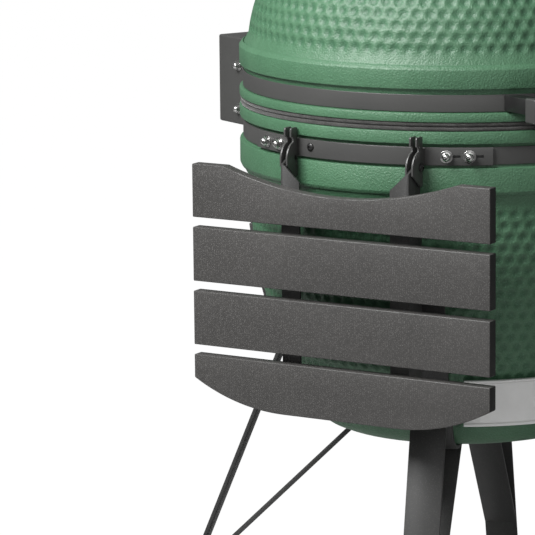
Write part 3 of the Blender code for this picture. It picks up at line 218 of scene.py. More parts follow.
def block(name: str, low: Triple, high: Triple) -> Thing:
    """A box between two corners.

    Args:
        name: The object's name.
        low: Lowest corner.
        high: Highest corner.

    Returns:
        The box, its place in its mesh.
    """
    deselect()
    middle = [(a + b) / 2.0 for a, b in zip(low, high)]
    bpy.ops.mesh.primitive_cube_add(size=1.0, location=middle)
    cube = bpy.context.active_object
    cube.name = name
    cube.data.name = name
    cube.scale = [b - a for a, b in zip(low, high)]
    return settle(cube)


def rod(name: str, radius: float, start: Vector, end: Vector, steps: int = 24) -> Thing:
    """A round bar between two points.

    Args:
        name: The object's name.
        radius: Half its thickness.
        start: One end of its axis.
        end: The other end.
        steps: Facets round it.

    Returns:
        The bar.
    """
    deselect()
    along = end - start
    bpy.ops.mesh.primitive_cylinder_add(vertices=steps, radius=radius, depth=along.length)
    bar = bpy.context.active_object
    bar.name = name
    bar.data.name = name
    turn = along.to_track_quat("Z", "Y").to_matrix().to_4x4()
    return settle(bar, Matrix.Translation((start + end) / 2.0) @ turn)


def apply_all(thing: Thing) -> Thing:
    """Apply every modifier of an object.

    Args:
        thing: The object.

    Returns:
        The same object.
    """
    pick(thing)
    for modifier in list(thing.modifiers):
        bpy.ops.object.modifier_apply(modifier=modifier.name)
    return thing


def soften(thing: Thing, width: float, segments: int = 2, angle: float = 35.0) -> Thing:
    """Round the sharp edges of a mesh.

    Args:
        thing: The object.
        width: How far the rounding reaches from an edge.
        segments: Facets across the rounding.
        angle: Edges sharper than this many degrees are rounded.

    Returns:
        The same object.
    """
    bevel = thing.modifiers.new("edges", "BEVEL")
    bevel.width = width
    bevel.segments = segments
    bevel.limit_method = "ANGLE"
    bevel.angle_limit = math.radians(angle)
    bevel.use_clamp_overlap = True
    bevel.harden_normals = False
    return apply_all(thing)


def cut(thing: Thing, *cutters: Thing) -> Thing:
    """Take cutters out of a piece and remove them.

    Args:
        thing: The piece.
        cutters: Closed meshes to subtract.

    Returns:
        The piece.
    """
    for cutter in cutters:
        hollow = thing.modifiers.new("cut", "BOOLEAN")
        hollow.operation = "DIFFERENCE"
        hollow.solver = "EXACT"
        hollow.object = cutter
    apply_all(thing)
    for cutter in cutters:
        bpy.data.objects.remove(cutter, do_unlink=True)
    return thing


def joined(name: str, *things: Thing) -> Thing:
    """Several closed meshes as one object.

    Args:
        name: The new object's name.
        things: Objects to bring together; the first one stays.

    Returns:
        The joined object.
    """
    deselect()
    for thing in things:
        thing.select_set(True)
    bpy.context.view_layer.objects.active = things[0]
    bpy.ops.object.join()
    things[0].name = name
    things[0].data.name = name
    return things[0]


def copied(thing: Thing, name: str, matrix: Matrix | None = None) -> Thing:
    """A copy with its own mesh, moved by a matrix.

    Args:
        thing: The object to copy.
        name: The copy's name.
        matrix: Where the copy goes.

    Returns:
        The copy.
    """
    twin = thing.copy()
    twin.data = thing.data.copy()
    twin.name = name
    twin.data.name = name
    bpy.context.scene.collection.objects.link(twin)
    return settle(twin, matrix)


def from_node(node: str, width: float) -> Thing:
    """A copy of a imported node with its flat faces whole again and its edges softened.

    Args:
        node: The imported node's name.
        width: How far the edge rounding reaches.

    Returns:
        The finished copy.
    """
    source = frame["nodes"][node]
    twin = source.copy()
    twin.data = source.data.copy()
    twin.name = node + "_finished"
    twin.parent = None
    twin.matrix_basis = Matrix.Identity(4)
    twin.hide_render = False
    twin.hide_viewport = False
    bpy.context.scene.collection.objects.link(twin)
    tidy_mesh(twin)
    with editing(twin):
        bpy.ops.mesh.dissolve_limited(angle_limit=math.radians(0.6))
    return soften(twin, width)


def arc(centre: Point, radius: float, start: float, end: float, count: int) -> list[Point]:
    """Points along an arc in a plane.

    Args:
        centre: The arc's centre.
        radius: Its radius.
        start: First angle in degrees.
        end: Last angle.
        count: How many points.

    Returns:
        The points.
    """
    turns = [math.radians(start + (end - start) * i / (count - 1)) for i in range(count)]
    return [(centre[0] + radius * math.cos(t), centre[1] + radius * math.sin(t)) for t in turns]


def filleted(outline: Sequence[Point], radius: float, segments: int = 3) -> list[Point]:
    """A closed outline with its corners rounded.

    Args:
        outline: Points in order.
        radius: Rounding radius, held back where a side is short.
        segments: Facets to a corner.

    Returns:
        The rounded outline. Points on the axis keep their corners.
    """
    result: list[Point] = []
    count = len(outline)
    for i, point in enumerate(outline):
        here = Vector(point)
        before = Vector(outline[i - 1]) - here
        after = Vector(outline[(i + 1) % count]) - here
        turn = math.pi - before.angle(after, math.pi)
        if turn < math.radians(20.0) or here.x < 1e-6:
            result.append(point)
            continue
        reach = min(radius * math.tan(turn / 2.0), before.length * 0.45, after.length * 0.45)
        first = here + before.normalized() * reach
        last = here + after.normalized() * reach
        for k in range(segments + 1):
            t = k / segments
            mixed = first * (1 - t) ** 2 + here * 2 * t * (1 - t) + last * t ** 2
            result.append((mixed.x, mixed.y))
    return result


# ---------------------------------------------------------------- shader building
class Slot(Enum):
    """Material slots of the record."""

    CERAMIC = "green_ceramic"
    FELT = "grey_felt"
    STEEL = "black_steel"
    SLAT = "slat_board"
    BRUSHED = "brushed_steel"
    IRON = "cast_iron"
    CLAY = "fire_clay"
    RUBBER = "rubber"


class Effects:
    """Node groups that several finishes share."""

    def __init__(self) -> None:
        """Build each group once."""
        self.mottle = self._mottle()
        self.grain = self._grain()
        self.flecks = self._flecks()

    @staticmethod
    def _group(name: str, inputs: Sequence[tuple[str, str, object]],
               outputs: Sequence[tuple[str, str]]) -> bpy.types.NodeTree:
        """An empty group with named sockets.

        Args:
            name: The group's name.
            inputs: Name, socket type and default of each input.
            outputs: Name and socket type of each output.

        Returns:
            The group.
        """
        tree = bpy.data.node_groups.new(name, "ShaderNodeTree")
        for label, kind, value in inputs:
            socket = tree.interface.new_socket(label, in_out="INPUT", socket_type=kind)
            socket.default_value = value
        for label, kind in outputs:
            tree.interface.new_socket(label, in_out="OUTPUT", socket_type=kind)
        tree.nodes.new("NodeGroupInput").name = "in"
        tree.nodes.new("NodeGroupOutput").name = "out"
        return tree

    def _mottle(self) -> bpy.types.NodeTree:
        """Slow drift between two colours with a finer drift over it.

        Returns:
            The group.
        """
        tree = self._group(
            "mottle",
            [("Dark", "NodeSocketColor", (0.1, 0.1, 0.1, 1)),
             ("Light", "NodeSocketColor", (0.2, 0.2, 0.2, 1)),
             ("Scale", "NodeSocketFloat", 8.0)],
            [("Colour", "NodeSocketColor"), ("Mask", "NodeSocketFloat")])
        nodes, links = tree.nodes, tree.links
        place = nodes.new("ShaderNodeTexCoord")
        noise = nodes.new("ShaderNodeTexNoise")
        noise.inputs["Detail"].default_value = 5.0
        noise.inputs["Roughness"].default_value = 0.6
        ramp = nodes.new("ShaderNodeMapRange")
        ramp.inputs["From Min"].default_value = 0.3
        ramp.inputs["From Max"].default_value = 0.7
        mix = nodes.new("ShaderNodeMix")
        mix.data_type = "RGBA"
        links.new(place.outputs["Object"], noise.inputs["Vector"])
        links.new(nodes["in"].outputs["Scale"], noise.inputs["Scale"])
        links.new(noise.outputs["Fac"], ramp.inputs["Value"])
        links.new(ramp.outputs["Result"], mix.inputs["Factor"])
        links.new(nodes["in"].outputs["Dark"], mix.inputs["A"])
        links.new(nodes["in"].outputs["Light"], mix.inputs["B"])
        links.new(mix.outputs["Result"], nodes["out"].inputs["Colour"])
        links.new(ramp.outputs["Result"], nodes["out"].inputs["Mask"])
        return tree

    def _grain(self) -> bpy.types.NodeTree:
        """A fine bump of grains, as on powder coat, felt, clay and cast iron.

        Returns:
            The group.
        """
        tree = self._group(
            "grain",
            [("Scale", "NodeSocketFloat", 900.0), ("Strength", "NodeSocketFloat", 0.3),
             ("Depth", "NodeSocketFloat", 0.0003), ("Stretch", "NodeSocketVector", (1, 1, 1))],
            [("Normal", "NodeSocketVector"), ("Mask", "NodeSocketFloat")])
        nodes, links = tree.nodes, tree.links
        place = nodes.new("ShaderNodeTexCoord")
        stretch = nodes.new("ShaderNodeVectorMath")
        stretch.operation = "MULTIPLY"
        noise = nodes.new("ShaderNodeTexNoise")
        noise.inputs["Detail"].default_value = 2.0
        bump = nodes.new("ShaderNodeBump")
        links.new(place.outputs["Object"], stretch.inputs[0])
        links.new(nodes["in"].outputs["Stretch"], stretch.inputs[1])
        links.new(stretch.outputs["Vector"], noise.inputs["Vector"])
        links.new(nodes["in"].outputs["Scale"], noise.inputs["Scale"])
        links.new(noise.outputs["Fac"], bump.inputs["Height"])
        links.new(nodes["in"].outputs["Strength"], bump.inputs["Strength"])
        links.new(nodes["in"].outputs["Depth"], bump.inputs["Distance"])
        links.new(bump.outputs["Normal"], nodes["out"].inputs["Normal"])
        links.new(noise.outputs["Fac"], nodes["out"].inputs["Mask"])
        return tree

    def _flecks(self) -> bpy.types.NodeTree:
        """Small bright specks scattered over a colour.

        Returns:
            The group.
        """
        tree = self._group(
            "flecks",
            [("Colour", "NodeSocketColor", (0.1, 0.1, 0.1, 1)),
             ("Fleck", "NodeSocketColor", (0.5, 0.5, 0.5, 1)),
             ("Scale", "NodeSocketFloat", 700.0), ("Amount", "NodeSocketFloat", 0.3)],
            [("Colour", "NodeSocketColor"), ("Mask", "NodeSocketFloat")])
        nodes, links = tree.nodes, tree.links
        place = nodes.new("ShaderNodeTexCoord")
        cells = nodes.new("ShaderNodeTexVoronoi")
        cells.feature = "F1"
        split = nodes.new("ShaderNodeSeparateColor")
        near = nodes.new("ShaderNodeMapRange")
        near.inputs["From Min"].default_value = 0.55
        near.inputs["From Max"].default_value = 0.15
        chosen = nodes.new("ShaderNodeMath")
        chosen.operation = "LESS_THAN"
        both = nodes.new("ShaderNodeMath")
        both.operation = "MULTIPLY"
        mix = nodes.new("ShaderNodeMix")
        mix.data_type = "RGBA"
        links.new(place.outputs["Object"], cells.inputs["Vector"])
        links.new(nodes["in"].outputs["Scale"], cells.inputs["Scale"])
        links.new(cells.outputs["Distance"], near.inputs["Value"])
        links.new(cells.outputs["Color"], split.inputs["Color"])
        links.new(split.outputs["Red"], chosen.inputs[0])
        links.new(nodes["in"].outputs["Amount"], chosen.inputs[1])
        links.new(near.outputs["Result"], both.inputs[0])
        links.new(chosen.outputs["Value"], both.inputs[1])
        links.new(both.outputs["Value"], mix.inputs["Factor"])
        links.new(nodes["in"].outputs["Colour"], mix.inputs["A"])
        links.new(nodes["in"].outputs["Fleck"], mix.inputs["B"])
        links.new(mix.outputs["Result"], nodes["out"].inputs["Colour"])
        links.new(both.outputs["Value"], nodes["out"].inputs["Mask"])
        return tree


@dataclass(frozen=True)
class Finish:
    """One finish: two tones, its gloss, its grain and its specks.

    Sizes in the pattern are per metre, so a larger scale is a finer pattern.
    """

    name: str
    dark: Triple
    light: Triple
    tone_scale: float = 9.0
    metallic: float = 0.0
    smooth: float = 0.35
    rough: float = 0.55
    specular: float = 0.5
    grain_scale: float = 900.0
    grain_depth: float = 0.0002
    grain_strength: float = 0.35
    stretch: Triple = (1.0, 1.0, 1.0)
    fleck: Triple | None = None
    fleck_scale: float = 700.0
    fleck_amount: float = 0.3
    coat: float = 0.0
    sheen: float = 0.0

    def build(self, effects: Effects) -> bpy.types.Material:
        """Make the material.

        Args:
            effects: The shared node groups.

        Returns:
            The material.
        """
        material = bpy.data.materials.new(self.name)
        material.use_nodes = True
        nodes, links = material.node_tree.nodes, material.node_tree.links
        shader = nodes["Principled BSDF"]
        shader.inputs["Metallic"].default_value = self.metallic
        shader.inputs["Specular IOR Level"].default_value = self.specular
        shader.inputs["Coat Weight"].default_value = self.coat
        shader.inputs["Coat Roughness"].default_value = 0.25
        shader.inputs["Sheen Weight"].default_value = self.sheen
        tones = nodes.new("ShaderNodeGroup")
        tones.node_tree = effects.mottle
        tones.inputs["Dark"].default_value = (*self.dark, 1)
        tones.inputs["Light"].default_value = (*self.light, 1)
        tones.inputs["Scale"].default_value = self.tone_scale
        colour = tones.outputs["Colour"]
        if self.fleck is not None:
            specks = nodes.new("ShaderNodeGroup")
            specks.node_tree = effects.flecks
            specks.inputs["Fleck"].default_value = (*self.fleck, 1)
            specks.inputs["Scale"].default_value = self.fleck_scale
            specks.inputs["Amount"].default_value = self.fleck_amount
            links.new(colour, specks.inputs["Colour"])
            colour = specks.outputs["Colour"]
        links.new(colour, shader.inputs["Base Color"])
        grain = nodes.new("ShaderNodeGroup")
        grain.node_tree = effects.grain
        grain.inputs["Scale"].default_value = self.grain_scale
        grain.inputs["Depth"].default_value = self.grain_depth
        grain.inputs["Strength"].default_value = self.grain_strength
        grain.inputs["Stretch"].default_value = self.stretch
        links.new(grain.outputs["Normal"], shader.inputs["Normal"])
        gloss = nodes.new("ShaderNodeMapRange")
        gloss.inputs["To Min"].default_value = self.smooth
        gloss.inputs["To Max"].default_value = self.rough
        links.new(grain.outputs["Mask"], gloss.inputs["Value"])
        links.new(gloss.outputs["Result"], shader.inputs["Roughness"])
        return material


@dataclass(frozen=True)
class GlazedCeramic:
    """Green glaze over a fine stipple, with painted shade darkening it in the dimples."""

    name: str = "green_glaze"
    dark: Triple = (0.047, 0.124, 0.065)
    light: Triple = (0.065, 0.156, 0.085)
    # Painted shade: the darker green mixed in where the dimples are deep.
    dimple_shade: Triple = (0.026, 0.088, 0.045)
    stipple_scale: float = 430.0
    stipple_depth: float = 0.0011

    def build(self, effects: Effects) -> bpy.types.Material:
        """Make the material.

        Args:
            effects: The shared node groups.

        Returns:
            The material.
        """
        material = bpy.data.materials.new(self.name)
        material.use_nodes = True
        nodes, links = material.node_tree.nodes, material.node_tree.links
        shader = nodes["Principled BSDF"]
        shader.inputs["Specular IOR Level"].default_value = 0.5
        tones = nodes.new("ShaderNodeGroup")
        tones.node_tree = effects.mottle
        tones.inputs["Dark"].default_value = (*self.dark, 1)
        tones.inputs["Light"].default_value = (*self.light, 1)
        tones.inputs["Scale"].default_value = 14.0
        # Painted shade: the dimple depth mixes the colour up to 55 % towards a darker green.
        dimple = nodes.new("ShaderNodeAttribute")
        dimple.attribute_name = "dimple"
        dimple_shading = nodes.new("ShaderNodeMix")
        dimple_shading.data_type = "RGBA"
        dimple_shading.inputs["B"].default_value = (*self.dimple_shade, 1)
        shade_share = nodes.new("ShaderNodeMath")
        shade_share.operation = "MULTIPLY"
        shade_share.inputs[1].default_value = 0.55
        links.new(dimple.outputs["Fac"], shade_share.inputs[0])
        links.new(shade_share.outputs["Value"], dimple_shading.inputs["Factor"])
        links.new(tones.outputs["Colour"], dimple_shading.inputs["A"])
        specks = nodes.new("ShaderNodeGroup")
        specks.node_tree = effects.flecks
        specks.inputs["Fleck"].default_value = (0.080, 0.190, 0.112, 1)
        specks.inputs["Scale"].default_value = 620.0
        specks.inputs["Amount"].default_value = 0.30
        links.new(dimple_shading.outputs["Result"], specks.inputs["Colour"])
        links.new(specks.outputs["Colour"], shader.inputs["Base Color"])
        grain = nodes.new("ShaderNodeGroup")
        grain.node_tree = effects.grain
        grain.inputs["Scale"].default_value = self.stipple_scale
        grain.inputs["Depth"].default_value = self.stipple_depth
        grain.inputs["Strength"].default_value = 0.8
        links.new(grain.outputs["Normal"], shader.inputs["Normal"])
        gloss = nodes.new("ShaderNodeMapRange")
        gloss.inputs["To Min"].default_value = 0.36
        gloss.inputs["To Max"].default_value = 0.58
        links.new(grain.outputs["Mask"], gloss.inputs["Value"])
        links.new(gloss.outputs["Result"], shader.inputs["Roughness"])
        return material


@dataclass(frozen=True)
class Lens:
    """Clear glass with the faintest smears."""

    name: str = "dial_glass"

    def build(self, effects: Effects) -> bpy.types.Material:
        """Make the material.

        Args:
            effects: The shared node groups.

        Returns:
            The material.
        """
        material = bpy.data.materials.new(self.name)
        material.use_nodes = True
        nodes, links = material.node_tree.nodes, material.node_tree.links
        shader = nodes["Principled BSDF"]
        shader.inputs["Base Color"].default_value = (1, 1, 1, 1)
        shader.inputs["Transmission Weight"].default_value = 1.0
        shader.inputs["IOR"].default_value = 1.45
        smear = nodes.new("ShaderNodeGroup")
        smear.node_tree = effects.grain
        smear.inputs["Scale"].default_value = 60.0
        smear.inputs["Strength"].default_value = 0.0
        gloss = nodes.new("ShaderNodeMapRange")
        gloss.inputs["To Min"].default_value = 0.02
        gloss.inputs["To Max"].default_value = 0.06
        links.new(smear.outputs["Mask"], gloss.inputs["Value"])
        links.new(gloss.outputs["Result"], shader.inputs["Roughness"])
        return material


GLAZE = GlazedCeramic()
LENS = Lens()
FELT = Finish("grey_felt", (0.030, 0.030, 0.029), (0.060, 0.060, 0.057), 60.0, rough=0.98,
              smooth=0.85, specular=0.1, grain_scale=1500.0, grain_depth=0.0006,
              grain_strength=0.8, sheen=0.3, fleck=(0.13, 0.13, 0.12), fleck_scale=900.0)
POWDER = Finish("dark_powder_coat", (0.026, 0.026, 0.0255), (0.034, 0.034, 0.033), 12.0,
                smooth=0.42, rough=0.58, grain_scale=1100.0, grain_depth=0.00016,
                fleck=(0.070, 0.070, 0.068), fleck_scale=950.0, fleck_amount=0.20)
BAND_COAT = Finish("band_coat", (0.050, 0.050, 0.049), (0.062, 0.062, 0.060), 8.0, smooth=0.32,
                   rough=0.46, grain_scale=700.0, grain_depth=0.0001)
HOUSING_COAT = Finish("housing_coat", (0.048, 0.048, 0.0465), (0.058, 0.058, 0.056), 10.0,
                      smooth=0.40, rough=0.55, grain_scale=1000.0, grain_depth=0.00015,
                      fleck=(0.085, 0.085, 0.083), fleck_scale=950.0, fleck_amount=0.20)
GRIP_COAT = Finish("grip_coat", (0.040, 0.040, 0.039), (0.050, 0.050, 0.049), 10.0,
                   smooth=0.35, rough=0.50, grain_scale=800.0, grain_depth=0.00015)
FITTING_BLACK = Finish("black_fitting", (0.010, 0.010, 0.010), (0.016, 0.016, 0.016), 30.0,
                       smooth=0.28, rough=0.42, grain_scale=1200.0, grain_depth=0.0001)
BOARD = Finish("slat_face", (0.040, 0.0385, 0.037), (0.052, 0.050, 0.048), 7.0, smooth=0.40,
               rough=0.60, grain_scale=620.0, grain_depth=0.0004, grain_strength=0.6,
               fleck=(0.125, 0.121, 0.117), fleck_scale=850.0, fleck_amount=0.45)
BOARD_END = Finish("slat_end", (0.008, 0.008, 0.008), (0.013, 0.013, 0.013), 20.0, smooth=0.5,
                   rough=0.65, grain_scale=800.0, grain_depth=0.0003)
BRUSHED = Finish("brushed_sheet", (0.86, 0.86, 0.85), (0.93, 0.93, 0.92), 30.0, metallic=0.12,
                 smooth=0.32, rough=0.46, grain_scale=160.0, grain_depth=0.00005,
                 grain_strength=0.25, stretch=(1.0, 1.0, 14.0))
POLISHED = Finish("bright_nut", (0.60, 0.60, 0.59), (0.74, 0.74, 0.73), 60.0, metallic=1.0,
                  smooth=0.12, rough=0.22, grain_scale=400.0, grain_depth=0.00003)
IRON = Finish("cast_iron", (0.012, 0.012, 0.012), (0.022, 0.022, 0.023), 20.0, metallic=0.3,
              smooth=0.45, rough=0.68, grain_scale=480.0, grain_depth=0.0006,
              grain_strength=0.6)
CLAY = Finish("fire_clay", (0.36, 0.29, 0.21), (0.50, 0.41, 0.31), 10.0, smooth=0.80, rough=0.95,
              specular=0.2, grain_scale=420.0, grain_depth=0.0007, grain_strength=0.7,
              fleck=(0.18, 0.13, 0.09), fleck_scale=240.0, fleck_amount=0.12)
BARE_CERAMIC = Finish("bare_ceramic", (0.30, 0.27, 0.22), (0.40, 0.365, 0.30), 9.0, smooth=0.78,
                      rough=0.95, specular=0.2, grain_scale=500.0, grain_depth=0.0005)
RUBBER = Finish("black_rubber", (0.010, 0.010, 0.010), (0.016, 0.016, 0.016), 40.0, smooth=0.6,
                rough=0.8, grain_scale=1300.0, grain_depth=0.0001)
DIAL_FACE = Finish("dial_face", (0.70, 0.70, 0.68), (0.78, 0.78, 0.76), 30.0, smooth=0.5,
                   rough=0.6, grain_scale=900.0, grain_depth=0.00005)
DIAL_INK = Finish("dial_ink", (0.012, 0.012, 0.013), (0.02, 0.02, 0.021), 60.0, smooth=0.5,
                  rough=0.6, grain_scale=900.0, grain_depth=0.00003)


class Paintbox:
    """Builds each finish once and hands it out."""

    def __init__(self) -> None:
        """Start with the shared effects and no finishes."""
        self.effects = Effects()
        self.made: dict[str, bpy.types.Material] = {}

    def get(self, finish: Finish | GlazedCeramic | Lens) -> bpy.types.Material:
        """The material of a finish.

        Args:
            finish: Which one.

        Returns:
            The material.
        """
        if finish.name not in self.made:
            self.made[finish.name] = finish.build(self.effects)
        return self.made[finish.name]


@dataclass
class Workshop:
    """What every sub-assembly needs: the paintbox and where the grill stands."""

    paints: Paintbox
    axis_y: float
    rim_z: float

    @classmethod
    def open(cls) -> "Workshop":
        """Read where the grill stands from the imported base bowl."""
        low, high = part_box("base_bowl")
        return cls(Paintbox(), (low.y + high.y) / 2.0, high.z)

    @property
    def rim(self) -> Matrix:
        """From the middle of the base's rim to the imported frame."""
        return Matrix.Translation((0.0, self.axis_y, self.rim_z))

    def dress(self, thing: Thing, body: str, finish: Finish | GlazedCeramic | Lens,
              replaces: Sequence[str] = (), angle: float = 35.0, smooth: bool = True) -> Thing:
        """Finish a new piece: its material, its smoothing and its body.

        Args:
            thing: The piece, in place.
            body: The body it moves with.
            finish: Its finish.
            replaces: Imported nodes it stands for.
            angle: Edges sharper than this many degrees stay sharp.
            smooth: Whether it is shaded smooth at all.

        Returns:
            The same piece.
        """
        thing.data.materials.clear()
        thing.data.materials.append(self.paints.get(finish))
        if smooth:
            pick(thing)
            bpy.ops.object.shade_smooth_by_angle(angle=math.radians(angle))
        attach(thing, body)
        if replaces:
            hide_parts(*replaces)
        LOG.info("%s rides on %s, %d faces", thing.name, body, len(thing.data.polygons))
        return thing

    def repaint(self, finish: Finish, *nodes: str) -> None:
        """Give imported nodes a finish.

        Args:
            finish: The finish.
            nodes: Their names.
        """
        for node in nodes:
            thing = frame["nodes"][node]
            thing.data.materials.clear()
            thing.data.materials.append(self.paints.get(finish))
            LOG.info("%s keeps its packed shape", node)

    def refine(self, node: str, body: str, finish: Finish, width: float) -> Thing:
        """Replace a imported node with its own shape, edges softened.

        Args:
            node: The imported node.
            body: Its body.
            finish: Its finish.
            width: How far the edge rounding reaches.

        Returns:
            The new piece.
        """
        return self.dress(from_node(node, width), body, finish, (node,))


# ---------------------------------------------------------------- ceramic shells
@dataclass
class Dimples:
    """Rows of round dimples, staggered, pressed into a turned wall.

    Rows of one zone hold the same number of dimples, so that they nest.
    """

    pitch: float = 0.0168
    radius: float = 0.0071
    depth: float = 0.0021
    zone_rows: int = 5

    def press(self, shell: Thing, wall: Sequence[Point], inset: tuple[float, float]) -> None:
        """Press dimples into the part of a shell that follows a wall line.

        Args:
            shell: A turned shell about Z, not yet moved to its place.
            wall: The wall's (radius, z) points from bottom to top.
            inset: Length along the wall left smooth at its bottom and top.
        """
        line = np.array(wall)
        steps = np.linalg.norm(np.diff(line, axis=0), axis=1)
        length = np.concatenate([[0.0], np.cumsum(steps)])
        mesh = shell.data
        points = np.empty(len(mesh.vertices) * 3)
        mesh.vertices.foreach_get("co", points)
        points = points.reshape(-1, 3)
        normals = np.empty(len(mesh.vertices) * 3)
        mesh.vertices.foreach_get("normal", normals)
        normals = normals.reshape(-1, 3)
        radius = np.hypot(points[:, 0], points[:, 1])
        turn = np.arctan2(points[:, 1], points[:, 0])
        along = np.interp(points[:, 2], line[:, 1], length)
        on_wall = np.abs(np.interp(along, length, line[:, 0]) - radius) < 0.0006
        on_wall &= (points[:, 2] >= line[0, 1] - 1e-6) & (points[:, 2] <= line[-1, 1] + 1e-6)
        spacing = self.pitch * NESTED_ROWS
        low, high = inset[0] + self.radius, length[-1] - inset[1] - self.radius
        rows = int((high - low) / spacing)
        row = np.round((along - low) / spacing).astype(int)
        pressed = np.zeros(len(points))
        for shift in (-1, 0, 1):
            near = row + shift
            inside = on_wall & (near >= 0) & (near <= rows)
            place = low + near * spacing
            round_radius = np.interp(place, length, line[:, 0])
            zone = low + (near // self.zone_rows + 0.5) * self.zone_rows * spacing
            zone_radius = np.interp(zone, length, line[:, 0])
            count = np.maximum(6, np.round(math.tau * zone_radius / self.pitch))
            stagger = 0.5 * (near % 2)
            seat = np.round(turn / math.tau * count - stagger) + stagger
            sideways = (turn - seat / count * math.tau) * round_radius
            away = np.hypot(sideways, along - place) / self.radius
            edge = np.clip((1.0 - away) / 0.6, 0.0, 1.0)
            bowl = edge * edge * (3.0 - 2.0 * edge)
            pressed = np.maximum(pressed, np.where(inside, bowl, 0.0))
        points -= normals * (pressed * self.depth)[:, None]
        mesh.vertices.foreach_set("co", points.ravel())
        layer = mesh.attributes.new("dimple", "FLOAT", "POINT")
        layer.data.foreach_set("value", pressed)
        mesh.update()


@dataclass
class CeramicShells:
    """The lid and the base: thick glazed ceramic with dimpled walls and smooth rims."""

    columns: int = 600
    row: float = 0.0030
    rim_radius: float = 0.2855
    rim_wall: float = 0.035
    channel_radius: float = 0.2794
    base_channel: tuple[float, float] = (-0.0450, -0.0155)
    lid_channel: tuple[float, float] = (0.0225, 0.0517)
    base_thickness: float = 0.026
    lid_thickness: float = 0.025
    body_radius: float = 0.2755
    body_centre: float = -0.0774
    body_depth: float = 0.450
    bottom: float = -0.420
    footprint: float = 0.150
    step_top: float = -0.075
    step_bottom: float = -0.092
    dome_radius: float = 0.2745
    dome_centre: float = 0.068
    dome_height: float = 0.234
    dome_foot: float = 0.0914
    lid_bottom: float = 0.0113
    lid_rim_top: float = 0.0754
    neck_radius: float = 0.075
    chimney_radius: float = 0.055
    neck_top: float = 0.318
    draft_window: tuple[float, float, float] = (0.040, -0.368, -0.330)
    dimples: Dimples = field(default_factory=Dimples)

    def body_at(self, z: float) -> float:
        """Radius of the base's wall at a height."""
        up = (z - self.body_centre) / self.body_depth
        return self.body_radius * math.sqrt(max(0.0, 1.0 - up * up))

    def base_wall(self) -> list[Point]:
        """The base's dimpled wall from its flat bottom up to the step.

        Returns:
            Its (radius, z) points.
        """
        shoulder = self.bottom + 0.022
        points = [(self.body_at(z), z) for z in
                  np.linspace(shoulder, self.step_bottom, int(0.32 / self.row))]
        edge = points[0][0] - self.footprint
        foot = [(self.footprint + edge * share, self.bottom + rise) for share, rise in
                ((0.0, 0.0), (0.22, 0.0010), (0.45, 0.0036), (0.66, 0.0075), (0.84, 0.0129),
                 (0.94, 0.0175))]
        return foot + points

    def dome_wall(self) -> list[Point]:
        """The lid's dimpled wall from above the step up to the neck.

        Returns:
            Its (radius, z) points.
        """
        first = math.asin((self.dome_foot - self.dome_centre) / self.dome_height)
        last = math.acos((self.neck_radius + 0.012) / self.dome_radius)
        count = int(0.335 / self.row)
        turns = [first + (last - first) * i / count for i in range(count + 1)]
        return [(self.dome_radius * math.cos(t), self.dome_centre + self.dome_height * math.sin(t))
                for t in turns]

    def build_base(self, shop: Workshop) -> None:
        """The base bowl with its rim, band channel and draft opening.

        Args:
            shop: The paintbox and where the grill stands.
        """
        inner = self.rim_radius - self.rim_wall
        low, high = self.base_channel
        rim = filleted([
            (self.rim_radius - 0.0025, self.step_top - 0.0052), (self.rim_radius, self.step_top),
            (self.rim_radius, low), (self.channel_radius, low),
            (self.channel_radius, high), (self.rim_radius, high), (self.rim_radius, 0.0),
            (inner, 0.0), (inner, self.step_top),
        ], 0.0018, 2)
        inside = [(self.body_at(z) - self.base_thickness, z) for z in np.linspace(-0.10, -0.36, 9)]
        floor = [(0.172, -0.374), (0.158, -0.386), (0.140, -0.392), (0.0, -0.392)]
        wall = self.base_wall()
        shell = turned("base_shell", [(0.0, self.bottom), *wall, *rim, *inside, *floor],
                       self.columns)
        self.dimples.press(shell, wall, (0.060, 0.001))
        half, low, high = self.draft_window
        cut(shell, block("draft_cutter", (-half, -0.245, low), (half, -0.140, high)))
        settle(shell, shop.rim)
        shop.dress(shell, "base", GLAZE, ("base_bowl",), angle=50.0)
        self.leave_inside_bare(shell, shop, self.body_centre, self.body_depth)

    def build_lid(self, shop: Workshop) -> None:
        """The domed lid with its rim, band channel and neck.

        Args:
            shop: The paintbox and where the grill stands.
        """
        inner = self.rim_radius - self.rim_wall
        wall = self.dome_wall()
        top = wall[-1]
        low, high = self.lid_channel
        rim = filleted([
            (inner, self.lid_bottom), (self.rim_radius, self.lid_bottom),
            (self.rim_radius, low), (self.channel_radius, low),
            (self.channel_radius, high), (self.rim_radius, high),
            (self.rim_radius, self.lid_rim_top), (self.rim_radius - 0.005, 0.0820),
        ], 0.0018, 2)
        neck = filleted([(self.neck_radius, top[1] + 0.008), (self.neck_radius, self.neck_top),
                         (self.chimney_radius, self.neck_top)], 0.0015)
        inner_width = self.dome_radius - self.lid_thickness
        inner_height = self.dome_height - self.lid_thickness
        last = math.acos(self.chimney_radius / inner_width)
        inside = []
        for i in range(13):
            turn = last * (1.0 - i / 12.0)
            inside.append((inner_width * math.cos(turn),
                           self.dome_centre + inner_height * math.sin(turn)))
        shell = turned("lid_shell", [*rim, *wall, *neck, *inside], self.columns)
        self.dimples.press(shell, wall, (0.0005, 0.004))
        settle(shell, shop.rim)
        shop.dress(shell, "lid", GLAZE, ("lid_dome",), angle=50.0)
        self.leave_inside_bare(shell, shop, self.dome_centre, self.dome_height)

